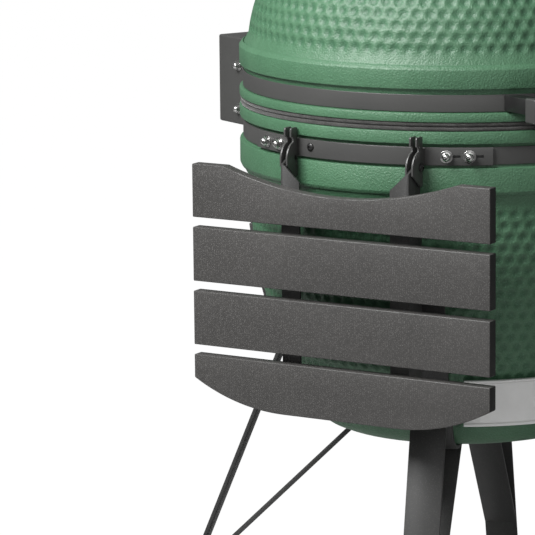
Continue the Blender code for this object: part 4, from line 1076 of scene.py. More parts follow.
    def leave_inside_bare(self, shell: Thing, shop: Workshop, centre: float,
                          height: float) -> None:
        """Give the unglazed inside of a shell the finish of bare ceramic.

        Args:
            shell: The shell, in place.
            shop: The workshop.
            centre: Height of the middle of the shell's curve.
            height: Half the height of its curve.
        """
        shell.data.materials.append(shop.paints.get(BARE_CERAMIC))
        for face in shell.data.polygons:
            x, y = face.center.x, face.center.y - shop.axis_y
            z = face.center.z - shop.rim_z
            radius = math.hypot(x, y)
            inwards = -(face.normal.x * x + face.normal.y * y) / max(radius, 1e-6)
            facing_in = inwards > 0.15 or (face.normal.z * (z - centre) < 0.0 and
                                           abs(face.normal.z) > 0.3 and radius < self.dome_radius)
            curve = (radius / self.dome_radius) ** 2 + ((z - centre) / height) ** 2
            if facing_in and curve < 0.97 and radius < self.rim_radius - self.rim_wall + 0.001:
                face.material_index = 1

    def build(self, shop: Workshop) -> None:
        """Both shells."""
        self.build_base(shop)
        self.build_lid(shop)


@dataclass
class BandsAndGaskets:
    """The two steel bands in their channels and the felt strips between lid and base."""

    steps: int = 240
    outer: float = 0.2812
    sheet: float = 0.0015
    base_band: tuple[float, float] = (-0.0415, -0.0193)
    lid_band: tuple[float, float] = (0.0235, 0.0448)
    base_gasket: tuple[float, float] = (0.0003, 0.0052)
    lid_gasket: tuple[float, float] = (0.0061, 0.0111)
    gasket_outer: float = 0.2843
    gasket_inner: float = 0.2525

    def band(self, name: str, low: float, high: float) -> Thing:
        """A band with rolled edges.

        Args:
            name: Its name.
            low: Its lower edge.
            high: Its upper edge.

        Returns:
            The band.
        """
        inner = self.outer - self.sheet
        section = [(inner, low), (self.outer, low), (self.outer, high), (inner, high)]
        return turned(name, filleted(section, 0.0009), self.steps)

    def gasket(self, name: str, low: float, high: float) -> Thing:
        """A felt ring with its outer edge bulged by the lid's weight.

        Args:
            name: Its name.
            low: Its underside.
            high: Its top.

        Returns:
            The strip.
        """
        middle = (low + high) / 2.0
        edge = self.gasket_outer
        section = [(self.gasket_inner, low), (edge - 0.0014, low), (edge - 0.0003, low + 0.0009),
                   (edge, middle), (edge - 0.0003, high - 0.0009), (edge - 0.0014, high),
                   (self.gasket_inner, high)]
        return turned(name, section, self.steps)

    def build(self, shop: Workshop) -> None:
        """Bands and gaskets.

        Args:
            shop: The paintbox and where the grill stands.
        """
        for name, body, (low, high) in (("base_band_ring", "base", self.base_band),
                                        ("lid_band_ring", "lid", self.lid_band)):
            band = settle(self.band(name, low, high), shop.rim)
            shop.dress(band, body, BAND_COAT, (name.replace("_ring", ""),))
        for name, body, (low, high) in (("base_gasket_strip", "base", self.base_gasket),
                                        ("lid_gasket_strip", "lid", self.lid_gasket)):
            strip = settle(self.gasket(name, low, high), shop.rim)
            shop.dress(strip, body, FELT, (name.replace("_strip", ""),), angle=60.0)


# ---------------------------------------------------------------- small fittings
@dataclass
class Fasteners:
    """Nuts, bolts and washers, modelled once about Z with their seat at the origin."""

    nut_width: float = 0.0110
    washer_radius: float = 0.0080
    washer: float = 0.0012

    def acorn_nut(self) -> Thing:
        """A domed nut on a washer.

        Returns:
            The nut, seated at the origin.
        """
        ring = turned("washer", filleted([(0.0, 0.0), (self.washer_radius, 0.0),
                                          (self.washer_radius, self.washer), (0.0, self.washer)],
                                         0.0003), 32)
        deselect()
        across = self.nut_width / 2.0 / math.cos(math.pi / 6.0)
        height = 0.0042
        bpy.ops.mesh.primitive_cylinder_add(vertices=6, radius=across, depth=height,
                                            location=(0, 0, self.washer + height / 2.0))
        base = soften(settle(bpy.context.active_object), 0.0004)
        low = self.washer + height - 0.0006
        radius = 0.0050
        dome = [(0.0, low)] + [(radius * math.cos(t), low + radius * math.sin(t))
                               for t in np.linspace(0.0, math.pi / 2.0, 9)][:-1]
        cap = turned("cap", dome + [(0.0, low + radius)], 24)
        return joined("acorn_nut", ring, base, cap)

    def button_bolt(self, radius: float = 0.0056, height: float = 0.0034) -> Thing:
        """A button head with a hexagon socket.

        Args:
            radius: Its radius.
            height: Its height.

        Returns:
            The head, seated at the origin.
        """
        profile = [(0.0, 0.0), (radius, 0.0), (radius, 0.0006)]
        profile += [(radius * math.cos(t), 0.0006 + (height - 0.0006) * math.sin(t))
                    for t in np.linspace(0.15, 1.15, 7)]
        profile += [(radius * 0.32, height), (0.0, height)]
        head = turned("button_bolt", profile, 28)
        deselect()
        bpy.ops.mesh.primitive_cylinder_add(vertices=6, radius=radius * 0.36, depth=height,
                                            location=(0, 0, height))
        return cut(head, bpy.context.active_object)


def facing(point: Vector, normal: Vector) -> Matrix:
    """A place whose Z looks along a normal.

    Args:
        point: The place.
        normal: The direction its Z takes.

    Returns:
        The place.
    """
    return Matrix.Translation(point) @ normal.to_track_quat("Z", "Y").to_matrix().to_4x4()


def round_the_rim(radius: float, angle: float, z: float) -> Matrix:
    """A place on a cylinder about the grill's axis, looking outwards.

    Args:
        radius: The cylinder's radius.
        angle: Degrees from the front towards +X.
        z: Height.

    Returns:
        The place.
    """
    turn = math.radians(angle - 90.0)
    outwards = Vector((math.cos(turn), math.sin(turn), 0.0))
    return facing(outwards * radius + Vector((0.0, 0.0, z)), outwards)


# ---------------------------------------------------------------- side shelves
@dataclass
class SideShelves:
    """Brackets on the base band, slatted shelves and the fittings between them.

    Sizes are in a frame at a shelf's pivot: X outwards, Y along the shelf, Z up.
    """

    facing_angle: float = 64.0
    pivot_radius: float = 0.2790
    pivot_z: float = -0.0430
    strap_inner: float = 0.2824
    strap_sheet: float = 0.0025
    strap_half: float = 36.0
    strap_z: tuple[float, float] = (-0.0415, -0.0193)
    ear_starts: tuple[float, float] = (0.0830, 0.0915)
    ear_sheet: float = 0.0025
    slat_back: float = 0.0250
    slat_thickness: float = 0.0160
    slat_half: float = 0.2100
    slat_width: float = 0.0690
    slat_gap: float = 0.0125
    slat_top: float = -0.0110
    top_slat_bottom: float = -0.0787
    bolt_angles: tuple[float, float] = (24.5, 30.2)
    strap_bolt_angle: float = 12.6
    slot_reach: float = 3.5
    slot_half: float = 0.0017
    screw_heights: tuple[float, ...] = (-0.062, -0.126, -0.207, -0.288)
    screw_along: float = 0.0745

    def pivot(self, shop: Workshop, sign: float) -> Matrix:
        """From the pivot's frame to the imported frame.

        Args:
            shop: Where the grill stands.
            sign: -1 for the left shelf and +1 for the right one.

        Returns:
            The pivot's place.
        """
        turn = math.radians(sign * self.facing_angle - 90.0)
        seat = Vector((math.cos(turn), math.sin(turn), 0.0)) * self.pivot_radius
        seat.z = self.pivot_z
        return shop.rim @ Matrix.Translation(seat) @ Matrix.Rotation(turn, 4, "Z")

    def ear(self, middle: float) -> Thing:
        """One ear of a clevis, with its notch, its lug and its root in the strap.

        Args:
            middle: Its place along the shelf.

        Returns:
            The ear.
        """
        radius = self.strap_inner + self.strap_sheet / 2.0
        root = math.sqrt(radius ** 2 - middle ** 2) - self.pivot_radius
        high = self.strap_z[1] - self.pivot_z - 0.0012
        low = self.strap_z[0] - self.pivot_z + 0.0010
        outline = [(-0.0045, -0.0235), (0.0010, -0.0235), (0.0205, -0.0080)]
        outline += arc((0.0, 0.0), 0.0208, 0.0, 75.0, 12)
        outline += [(0.0045, 0.0265), (0.0105, 0.0265), (0.0105, 0.0362), (0.0090, 0.0380),
                    (-0.0030, 0.0380), (-0.0045, 0.0370), (-0.0045, high), (root, high),
                    (root, low), (-0.0045, low)]
        ear = plate("ear", outline, self.ear_sheet)
        settle(ear, Matrix.Translation((0.0, middle, 0.0)) @ UPRIGHT)
        return soften(tidy_mesh(ear), 0.0004)

    def bracket(self) -> Thing:
        """The strap over the base band with its slots and four ears.

        Returns:
            The bracket, in its pivot's frame.
        """
        inner, outer = self.strap_inner, self.strap_inner + self.strap_sheet
        low, high = self.strap_z
        section = filleted([(inner, low), (outer, low), (outer, high), (inner, high)], 0.0006)
        strap = swept("strap", section, 90.0 - self.strap_half, 90.0 + self.strap_half)
        middle = (low + high) / 2.0
        cutters = []
        for side in (-1.0, 1.0):
            for angle in self.bolt_angles:
                near, far = sorted((side * angle, side * (angle + self.slot_reach)))
                tall = self.slot_half
                slot = swept("slot", [(inner - 0.002, middle - tall), (outer + 0.002, middle - tall),
                                      (outer + 0.002, middle + tall), (inner - 0.002, middle + tall)],
                             90.0 + near, 90.0 + far, 0.4)
                cutters.append(slot)
        cut(strap, *cutters)
        settle(strap, Matrix.Translation((-self.pivot_radius, 0.0, -self.pivot_z)))
        ears = [self.ear(side * (start + self.ear_sheet / 2.0))
                for side in (-1.0, 1.0) for start in self.ear_starts]
        return joined("shelf_bracket", strap, *ears)

    def slat(self, outline: Sequence[Point]) -> Thing:
        """A slat with eased edges, upright behind its outline in Y and Z.

        Args:
            outline: Points along and up the slat.

        Returns:
            The slat.
        """
        board = plate("slat", outline, self.slat_thickness)
        turn = Matrix.Rotation(math.pi / 2, 4, "Z") @ UPRIGHT
        middle = self.slat_back + self.slat_thickness / 2.0
        settle(board, Matrix.Translation((middle, 0.0, 0.0)) @ turn)
        return soften(tidy_mesh(board), 0.0013, 3, 40.0)

    def slat_outlines(self) -> list[list[Point]]:
        """The four slats from the top down.

        Returns:
            The (y, z) points of each slat.
        """
        half = self.slat_half
        reach, dip = 0.1640, 0.0283
        radius = (reach ** 2 + dip ** 2) / (2.0 * dip)
        sweep = math.degrees(math.asin(reach / radius))
        hollow = arc((0.0, self.slat_top - dip + radius), radius, 270.0 - sweep, 270.0 + sweep, 41)
        outlines = [[(-half, self.slat_top), *hollow, (half, self.slat_top),
                     (half, self.top_slat_bottom), (-half, self.top_slat_bottom)]]
        top = self.top_slat_bottom - self.slat_gap
        for _ in range(2):
            low = top - self.slat_width
            outlines.append([(-half, top), (half, top), (half, low), (-half, low)])
            top = low - self.slat_gap
        flat, height, end = 0.0800, 0.0650, 0.0300
        run, rise = half - flat, height - end
        radius = (run ** 2 + rise ** 2) / (2.0 * rise)
        turn = math.degrees(math.asin(run / radius))
        low = top - height
        bow = arc((flat, low + radius), radius, 270.0 + turn, 270.0, 20)
        outlines.append([(-half, top), (half, top), *bow, *[(-y, z) for y, z in reversed(bow)]])
        return outlines

    def build_slats(self, shop: Workshop) -> None:
        """All slats of both shelves, black at their ends.

        Args:
            shop: The paintbox and where the grill stands.
        """
        for i, outline in enumerate(self.slat_outlines()):
            master = self.slat(outline)
            for side_name, sign in (("left", -1.0), ("right", 1.0)):
                node = f"{side_name}_shelf_slat_{i + 1}"
                board = copied(master, node + "_board", self.pivot(shop, sign))
                shop.dress(board, f"{side_name}_shelf", BOARD, (node,), angle=30.0)
                board.data.materials.append(shop.paints.get(BOARD_END))
                along = self.pivot(shop, sign).to_3x3() @ Vector((0.0, 1.0, 0.0))
                for face in board.data.polygons:
                    if abs(face.normal.dot(along)) > 0.85:
                        face.material_index = 1
            bpy.data.objects.remove(master, do_unlink=True)

    def build_brackets(self, shop: Workshop) -> None:
        """Straps, ears, clamp nuts and strap bolts of both shelves.

        Args:
            shop: The paintbox and where the grill stands.
        """
        master = self.bracket()
        nut = Fasteners().acorn_nut()
        small = Fasteners().button_bolt(0.0052, 0.0030)
        middle = (self.strap_z[0] + self.strap_z[1]) / 2.0
        surface = self.strap_inner + self.strap_sheet
        for side_name, sign in (("left", -1.0), ("right", 1.0)):
            place = self.pivot(shop, sign)
            strap = copied(master, f"{side_name}_bracket_plate", place)
            shop.dress(strap, "base", BAND_COAT, (f"{side_name}_shelf_bracket",))
            for end in (-1.0, 1.0):
                end_name = "rear" if end * sign > 0 else "front"
                for number, angle in enumerate(self.bolt_angles):
                    at = shop.rim @ round_the_rim(surface, sign * self.facing_angle + end * angle,
                                                  middle)
                    piece = copied(nut, f"{side_name}_{end_name}_clamp_nut_{number + 1}", at)
                    shop.dress(piece, "base", POLISHED)
            inboard = sign * (self.facing_angle + self.strap_bolt_angle)
            at = shop.rim @ round_the_rim(surface, inboard, middle + 0.002)
            rivet = copied(small, f"{side_name}_strap_bolt", at)
            shop.dress(rivet, "base", FITTING_BLACK)
        for thing in (master, nut, small):
            bpy.data.objects.remove(thing, do_unlink=True)

    def build_pivots(self, shop: Workshop) -> None:
        """A button-head bolt through each clevis.

        Args:
            shop: The paintbox and where the grill stands.
        """
        head = Fasteners().button_bolt(0.0054, 0.0035)
        seat = self.ear_starts[1] + self.ear_sheet
        for side_name, sign in (("left", -1.0), ("right", 1.0)):
            for end_name, side in (("front", -sign), ("rear", sign)):
                along = Vector((0.0, side, 0.0))
                shank = rod("shank", 0.0029, along * self.ear_starts[0], along * (seat + 0.0006))
                cap = copied(head, "cap", facing(along * seat, along))
                bolt = joined(f"{side_name}_{end_name}_bolt", shank, cap)
                settle(bolt, self.pivot(shop, sign))
                node = f"{side_name}_{end_name}_pivot_bolt"
                shop.dress(bolt, "base", FITTING_BLACK, (node,))
        bpy.data.objects.remove(head, do_unlink=True)

    def build_screws(self, shop: Workshop) -> None:
        """Screws from the arms' flanges into the slats.

        Args:
            shop: The paintbox and where the grill stands.
        """
        head = Fasteners().button_bolt(0.0040, 0.0022)
        for side_name, sign in (("left", -1.0), ("right", 1.0)):
            place = self.pivot(shop, sign)
            for end in (-1.0, 1.0):
                for number, z in enumerate(self.screw_heights):
                    at = facing(Vector((self.slat_back - 0.0033, end * self.screw_along, z)),
                                Vector((-1.0, 0.0, 0.0)))
                    end_name = "rear" if end * sign > 0 else "front"
                    screw = copied(head, f"{side_name}_{end_name}_slat_screw_{number + 1}",
                                   place @ at)
                    shop.dress(screw, f"{side_name}_shelf", POLISHED)
        bpy.data.objects.remove(head, do_unlink=True)

    def build(self, shop: Workshop) -> None:
        """Everything at both sides.

        Args:
            shop: The paintbox and where the grill stands.
        """
        self.build_brackets(shop)
        self.build_pivots(shop)
        self.build_slats(shop)
        self.build_screws(shop)
        for side_name in ("left", "right"):
            for end_name in ("front", "rear"):
                shop.refine(f"{side_name}_shelf_{end_name}_arm", f"{side_name}_shelf",
                            POWDER, 0.0005)


# ---------------------------------------------------------------- stand and draft door
@dataclass
class Stand:
    """Four ribs under the bowl, their legs and rubber feet, and the ring under the middle."""

    corners: tuple[str, ...] = ("front_left", "front_right", "rear_left", "rear_right")

    def build(self, shop: Workshop) -> None:
        """Every piece of the stand.

        Args:
            shop: The paintbox and where the grill stands.
        """
        for corner in self.corners:
            for part in ("rib", "leg"):
                shop.refine(f"{corner}_{part}", "base", POWDER, 0.0006)
            shop.refine(f"{corner}_foot", "base", RUBBER, 0.0018)
        shop.refine("cradle_ring", "base", POWDER, 0.0008)


@dataclass
class DraftDoor:
    """A steel housing round the front of the bowl with a sliding door and a mesh screen."""

    low: float = -0.3780
    high: float = -0.3200
    skin: float = 0.2400
    half_angle: float = 35.0
    rail: float = 0.0034
    window: float = 12.0
    cover: float = 12.6
    front_half: float = 30.3
    tab_angles: tuple[float, float] = (-11.9, -10.9)
    sheet: float = 0.0010
    gap: float = 0.0012

    def section(self, inner: float, outer: float, low: float, high: float) -> list[Point]:
        """A rectangle between two radii and two heights."""
        return [(inner, low), (outer, low), (outer, high), (inner, high)]

    def frame_plate(self, shells: CeramicShells) -> Thing:
        """Rails, recessed end plates and the bright front sheet with its window.

        Args:
            shells: The bowl it wraps round.

        Returns:
            The housing.
        """
        half = self.half_angle
        skin = self.skin
        pieces = []
        for low, high in ((self.low, self.low + self.rail), (self.high - 0.0022, self.high)):
            hug = max(shells.body_at(low), shells.body_at(high)) + 0.0005
            pieces.append(swept("rail", filleted(self.section(hug, skin, low, high), 0.0005),
                                -half, half))
        plate_low = self.low + self.rail - 0.0002
        plate_high = self.high - 0.0020
        recess = swept("recess", self.section(skin - 0.0032, skin - 0.0020, plate_low, plate_high),
                       -half + 0.2, half - 0.2)
        front = swept("front", filleted(self.section(skin - 0.0024, skin - 0.0006,
                                                     self.low + self.rail + 0.0014,
                                                     self.high - 0.0034), 0.0005),
                      -self.front_half, self.front_half)
        opening = self.section(skin - 0.02, skin + 0.01, self.low + 0.010, self.high - 0.010)
        for thing in (recess, front):
            cut(thing, swept("window", opening, -self.window, self.window))
        ends = []
        for side in (-1.0, 1.0):
            edge = side * (half - 0.35)
            ends.append(swept("end", self.section(shells.body_at(self.low) + 0.001, skin - 0.0022,
                                                  plate_low, plate_high),
                              edge - 0.35, edge + 0.35, 0.35))
        return joined("draft_housing", *pieces, recess, front, *ends)

    def build(self, shop: Workshop, shells: CeramicShells) -> None:
        """Housing, door and screen.

        Args:
            shop: The workshop.
            shells: The bowl they wrap round.
        """
        housing = settle(self.frame_plate(shells), shop.rim)
        shop.dress(housing, "base", BRUSHED, ("draft_frame",))
        door_outer = self.skin - 0.0015 - self.gap
        low, high = self.low + 0.0040, self.high - 0.0040
        middle = (self.low + self.high) / 2.0
        leaf = swept("draft_leaf", filleted(self.section(door_outer - self.sheet, door_outer - 0.0010,
                                                         low, high), 0.0003),
                     -self.cover, self.cover)
        tab = swept("tab", filleted(self.section(door_outer - 0.0008, self.skin + 0.0085,
                                                 middle - 0.010, middle + 0.010), 0.0025),
                    *self.tab_angles, 0.5)
        door = settle(joined("draft_leaf", leaf, soften(tab, 0.0008)), shop.rim)
        shop.dress(door, "door", BRUSHED, ("draft_door",))
        self.build_screen(shop, door_outer - self.sheet - self.gap - 0.0006, low, high)

    def build_screen(self, shop: Workshop, radius: float, low: float, high: float) -> None:
        """Woven wire across the opening, as a curved lattice.

        Args:
            shop: The workshop.
            radius: The screen's radius.
            low: Its lower edge.
            high: Its upper edge.
        """
        deselect()
        bpy.ops.mesh.primitive_grid_add(x_subdivisions=34, y_subdivisions=17, size=1.0)
        screen = bpy.context.active_object
        screen.name = "draft_mesh"
        for vertex in screen.data.vertices:
            turn = math.radians(2.0 * self.cover * vertex.co.x - 90.0)
            height = low + (vertex.co.y + 0.5) * (high - low)
            vertex.co = (radius * math.cos(turn), radius * math.sin(turn), height)
        wires = screen.modifiers.new("wires", "WIREFRAME")
        wires.thickness = 0.0007
        apply_all(screen)
        settle(screen, shop.rim)
        shop.dress(screen, "screen", BRUSHED, ("draft_screen",), smooth=False)


# ---------------------------------------------------------------- hinge and lid fittings
@dataclass
class LidHinge:
    """A sheet housing behind the grill with the cross pins, straps and springs in it."""

    half_width: float = 0.1130
    back: float = 0.4065
    front: float = 0.3030
    top: float = 0.0550
    bottom: float = -0.0640
    sheet: float = 0.0020
    pin_y: float = 0.3550
    pin_z: float = 0.0170
    cover_bolt_z: float = -0.0420
    pin_radius: float = 0.0040
    arm_x: float = 0.0870
    arm_slot_half: float = 0.0050

    def housing(self) -> Thing:
        """The cover: open to the bowl, slotted on top for the lid's arms.

        Returns:
            The housing.
        """
        cover = block("hinge_cover", (-self.half_width, self.front, self.bottom),
                      (self.half_width, self.back, self.top))
        with editing(cover, "EDGE"):
            bpy.ops.mesh.bevel(offset=0.0028, segments=4, affect="EDGES")
        inside = block("cutter", (-self.half_width + self.sheet, self.front - 0.02,
                                  self.bottom + self.sheet),
                       (self.half_width - self.sheet, self.back - self.sheet,
                        self.top - self.sheet))
        cutters = [inside]
        for side in (-1.0, 1.0):
            middle = side * self.arm_x
            half = self.arm_slot_half
            cutters.append(block("cutter", (middle - half, self.front - 0.02, self.top - 0.01),
                                 (middle + half, self.pin_y + 0.018, self.top + 0.01)))
        return cut(cover, *cutters)

    def build(self, shop: Workshop) -> None:
        """Housing, pins and straps.

        Args:
            shop: The paintbox and where the grill stands.
        """
        cover = settle(self.housing(), shop.rim)
        shop.dress(cover, "base", HOUSING_COAT, ("hinge_housing",))
        nut = Fasteners(nut_width=0.0105, washer_radius=0.0074, washer=0.0010).acorn_nut()
        for name, z, node in (("hinge_rod", self.pin_z, "hinge_pin"),
                              ("cover_rod", self.cover_bolt_z, "housing_bolt")):
            reach = Vector((self.half_width + 0.0002, 0.0, 0.0))
            middle = Vector((0.0, self.pin_y, z))
            bar = rod(name, self.pin_radius, middle - reach, middle + reach)
            ends = [copied(nut, "end", facing(middle + reach * side, Vector((side, 0, 0))))
                    for side in (-1.0, 1.0)]
            piece = settle(joined(name, bar, *ends), shop.rim)
            shop.dress(piece, "base", POLISHED, (node,))
        bpy.data.objects.remove(nut, do_unlink=True)
        shop.refine("hinge_base_bracket", "base", BAND_COAT, 0.0005)
        shop.refine("hinge_yoke", "lid", BAND_COAT, 0.0005)
        shop.repaint(POLISHED, "left_hinge_spring", "right_hinge_spring")


@dataclass
class LidHandle:
    """A bar across the front of the lid on two brackets."""

    half_length: float = 0.1300
    front: float = -0.3300
    depth: float = 0.0200
    low: float = 0.0175
    high: float = 0.0466

    def build(self, shop: Workshop) -> None:
        """The grip with end caps, and its brackets.

        Args:
            shop: The paintbox and where the grill stands.
        """
        grip = block("grip_bar", (-self.half_length + 0.004, self.front, self.low),
                     (self.half_length - 0.004, self.front + self.depth, self.high))
        with editing(grip, "EDGE"):
            bpy.ops.mesh.bevel(offset=0.0035, segments=5, affect="EDGES")
        settle(grip, shop.rim)
        shop.dress(grip, "lid", GRIP_COAT, ("handle_grip",))
        for side_name, side in (("left", -1.0), ("right", 1.0)):
            outer, inner = side * self.half_length, side * (self.half_length - 0.010)
            cap = block(f"{side_name}_grip_cap", (min(outer, inner), self.front - 0.0006, self.low - 0.0006),
                        (max(outer, inner), self.front + self.depth + 0.0002, self.high + 0.0006))
            settle(soften(cap, 0.0022, 4), shop.rim)
            shop.dress(cap, "lid", GRIP_COAT)
            shop.refine(f"{side_name}_handle_bracket", "lid", FITTING_BLACK, 0.0006)


@dataclass
class Thermometer:
    """A round dial on the front of the lid."""

    radius: float = 0.0280
    depth: float = 0.0120
    wall: float = 0.0025
    floor: float = 0.0040
    ticks: int = 31
    sweep: float = 240.0

    def place(self, shop: Workshop) -> Matrix:
        """The dial's seat on the dome, with Z outwards and Y up the dial.

        Args:
            shop: The paintbox and where the grill stands; not used.

        Returns:
            The place.
        """
        joint = next(j for j in frame["joints"] if j["name"] == "thermometer_turn")
        seat = Vector(joint["pos_m"])
        normal = -Vector(joint["axis"]).normalized()
        upwards = (Vector((0, 0, 1)) - normal * normal.z).normalized()
        across = upwards.cross(normal)
        turn = Matrix((across, upwards, normal)).transposed().to_4x4()
        return Matrix.Translation(seat) @ turn

    def build(self, shop: Workshop) -> None:
        """Case, dial face, ticks, glass and needle.

        Args:
            shop: The paintbox and where the grill stands.
        """
        place = self.place(shop)
        back, front = 0.0003, 0.0003 + self.depth
        inside = self.radius - self.wall
        floor = back + self.floor
        case = turned("dial_case", filleted([
            (0.0, floor), (inside, floor), (inside, front), (self.radius, front),
            (self.radius, back), (0.0040, back), (0.0040, -0.0650), (0.0, -0.0680)], 0.0009, 4), 72)
        shop.dress(settle(case, place), "lid", BRUSHED, ("thermometer_case",))
        face = turned("dial_card", [(0.0, floor + 0.0001), (inside - 0.0004, floor + 0.0001),
                                    (inside - 0.0004, floor + 0.0003), (0.0, floor + 0.0003)], 64)
        shop.dress(settle(face, place), "lid", DIAL_FACE)
        marks = []
        for i in range(self.ticks):
            turn = math.radians(self.sweep / 2.0 - self.sweep * i / (self.ticks - 1))
            length = 0.0042 if i % 5 == 0 else 0.0024
            width = 0.0005 if i % 5 == 0 else 0.00025
            tick = block("tick", (-width, inside - 0.0022 - length, floor + 0.0002),
                         (width, inside - 0.0022, floor + 0.00045))
            marks.append(settle(tick, Matrix.Rotation(turn, 4, "Z")))
        scale = settle(joined("dial_scale", *marks), place)
        shop.dress(scale, "lid", DIAL_INK, smooth=False)
        glass = turned("dial_glass_disc", [(0.0, front - 0.0022), (inside - 0.0002, front - 0.0022),
                                           (inside - 0.0002, front - 0.0014), (inside * 0.6, front - 0.0008),
                                           (0.0, front - 0.0006)], 64)
        shop.dress(settle(glass, place), "lid", LENS)
        hub = turned("hub", filleted([(0.0, floor + 0.0004), (0.0024, floor + 0.0004),
                                      (0.0024, floor + 0.0022), (0.0, floor + 0.0022)], 0.0004), 24)
        hand = plate("hand", [(-0.0013, -0.0060), (0.0013, -0.0060), (0.0011, 0.0),
                              (0.0003, 0.0180), (-0.0003, 0.0180), (-0.0011, 0.0)], 0.0007)
        settle(hand, Matrix.Translation((0.0, 0.0, floor + 0.0013)))
        needle = settle(joined("dial_hand", hand, hub), place)
        shop.dress(needle, "needle", DIAL_INK, ("thermometer_needle",))


@dataclass
class TopVent:
    """A cast-iron collar on the neck with a swinging plate and a turning daisy disc."""

    neck_radius: float = 0.0750
    neck_top: float = 0.3180
    wall: float = 0.0040
    overlap: float = 0.0220
    plate_height: float = 0.0040
    opening: float = 0.0450
    pivot_y: float = 0.0900
    boss: float = 0.0090
    pin: float = 0.0040
    slide_radius: float = 0.0720
    daisy_radius: float = 0.0540
    daisy_plate: float = 0.0025
    petals: int = 5
    petal_radius: float = 0.0095
    petal_circle: float = 0.0300
    tab_half: float = 0.0110
    tab_reach: float = 0.0240
    knob_y: float = -0.0440

    @property
    def collar_top(self) -> float:
        """Top of the collar."""
        return self.neck_top + 0.0003 + self.plate_height

    def petal_cutters(self, turn: float, low: float, high: float) -> list[Thing]:
        """Round cutters for the daisy pattern.

        Args:
            turn: Angle of the first one in degrees.
            low: Where they start.
            high: Where they end.

        Returns:
            The cutters.
        """
        cutters = []
        for i in range(self.petals):
            angle = math.radians(turn + 360.0 * i / self.petals)
            x, y = self.petal_circle * math.cos(angle), self.petal_circle * math.sin(angle)
            cutters.append(rod("petal", self.petal_radius, Vector((x, y, low)),
                               Vector((x, y, high)), 40))
        return cutters

    def collar(self) -> Thing:
        """The fixed collar with its pivot post.

        Returns:
            The collar.
        """
        top = self.collar_top
        inner = self.neck_radius + 0.0003
        outer = inner + self.wall
        ring = turned("vent_collar", filleted([
            (self.opening, top), (self.opening, top - self.plate_height),
            (inner, top - self.plate_height), (inner, top - self.overlap),
            (outer, top - self.overlap), (outer, top)], 0.0012), 120)
        post = rod("post", self.boss, Vector((0, self.pivot_y, top - 0.016)),
                   Vector((0, self.pivot_y, top)), 40)
        web = block("web", (-0.004, inner + self.wall - 0.002, top - 0.014),
                    (0.004, self.pivot_y, top - 0.001))
        pin = rod("pin", self.pin, Vector((0, self.pivot_y, top - 0.008)),
                  Vector((0, self.pivot_y, top + 0.0103)), 32)
        return joined("vent_collar", ring, soften(post, 0.0008), soften(web, 0.0006),
                      soften(pin, 0.0008))

    def slide(self) -> Thing:
        """The swinging plate with its petals, ear, tab and stud.

        Returns:
            The plate.
        """
        low = self.collar_top + 0.0003
        high = low + self.plate_height
        tab_angle = math.degrees(math.asin(self.tab_half / self.slide_radius))
        ear_angle = math.degrees(math.asin(self.boss / self.slide_radius))
        outline = arc((0, 0), self.slide_radius, -90.0 + tab_angle, 90.0 - ear_angle, 48)
        outline += arc((0.0, self.pivot_y), self.boss, 0.0, 180.0, 15)
        outline += arc((0, 0), self.slide_radius, 90.0 + ear_angle, 270.0 - tab_angle, 48)
        reach = -self.slide_radius - self.tab_reach
        outline += [(-self.tab_half, reach + 0.003), (-0.0085, reach), (0.0085, reach),
                    (self.tab_half, reach + 0.003)]
        disc = plate("slide_plate", outline, self.plate_height)
        settle(disc, Matrix.Translation((0, 0, (low + high) / 2.0)))
        hole = rod("hole", self.pin + 0.0003, Vector((0, self.pivot_y, low - 0.01)),
                   Vector((0, self.pivot_y, high + 0.01)), 32)
        cut(disc, hole, *self.petal_cutters(90.0, low - 0.01, high + 0.01))
        soften(disc, 0.0006)
        stud = rod("stud", self.pin, Vector((0, 0, low + 0.001)),
                   Vector((0, 0, high + self.daisy_plate + 0.0050)), 32)
        return joined("slide_plate", disc, soften(stud, 0.0008))

    def daisy(self) -> Thing:
        """The turning disc with its petals and knob.

        Returns:
            The disc.
        """
        low = self.collar_top + 0.0006 + self.plate_height
        high = low + self.daisy_plate
        disc = turned("daisy_plate", filleted([
            (self.pin + 0.0003, low), (self.daisy_radius, low), (self.daisy_radius, high),
            (self.pin + 0.0003, high)], 0.0006), 96)
        cut(disc, *self.petal_cutters(90.0 - 180.0 / self.petals, low - 0.01, high + 0.01))
        knob = turned("knob", filleted([(0.0, low + 0.0005), (0.0030, low + 0.0005),
                                        (0.0030, low + 0.0060), (0.0042, low + 0.0080),
                                        (0.0042, low + 0.0120), (0.0, low + 0.0120)], 0.0010), 28)
        settle(knob, Matrix.Translation((0.0, self.knob_y, 0.0)))
        return joined("daisy_plate", disc, knob)

    def build(self, shop: Workshop) -> None:
        """Collar, plate and daisy disc.

        Args:
            shop: The paintbox and where the grill stands.
        """
        shop.dress(settle(self.collar(), shop.rim), "lid", IRON, ("vent_base",))
        shop.dress(settle(self.slide(), shop.rim), "vent", IRON, ("vent_slide",))
        shop.dress(settle(self.daisy(), shop.rim), "daisy", IRON, ("daisy_disc",))


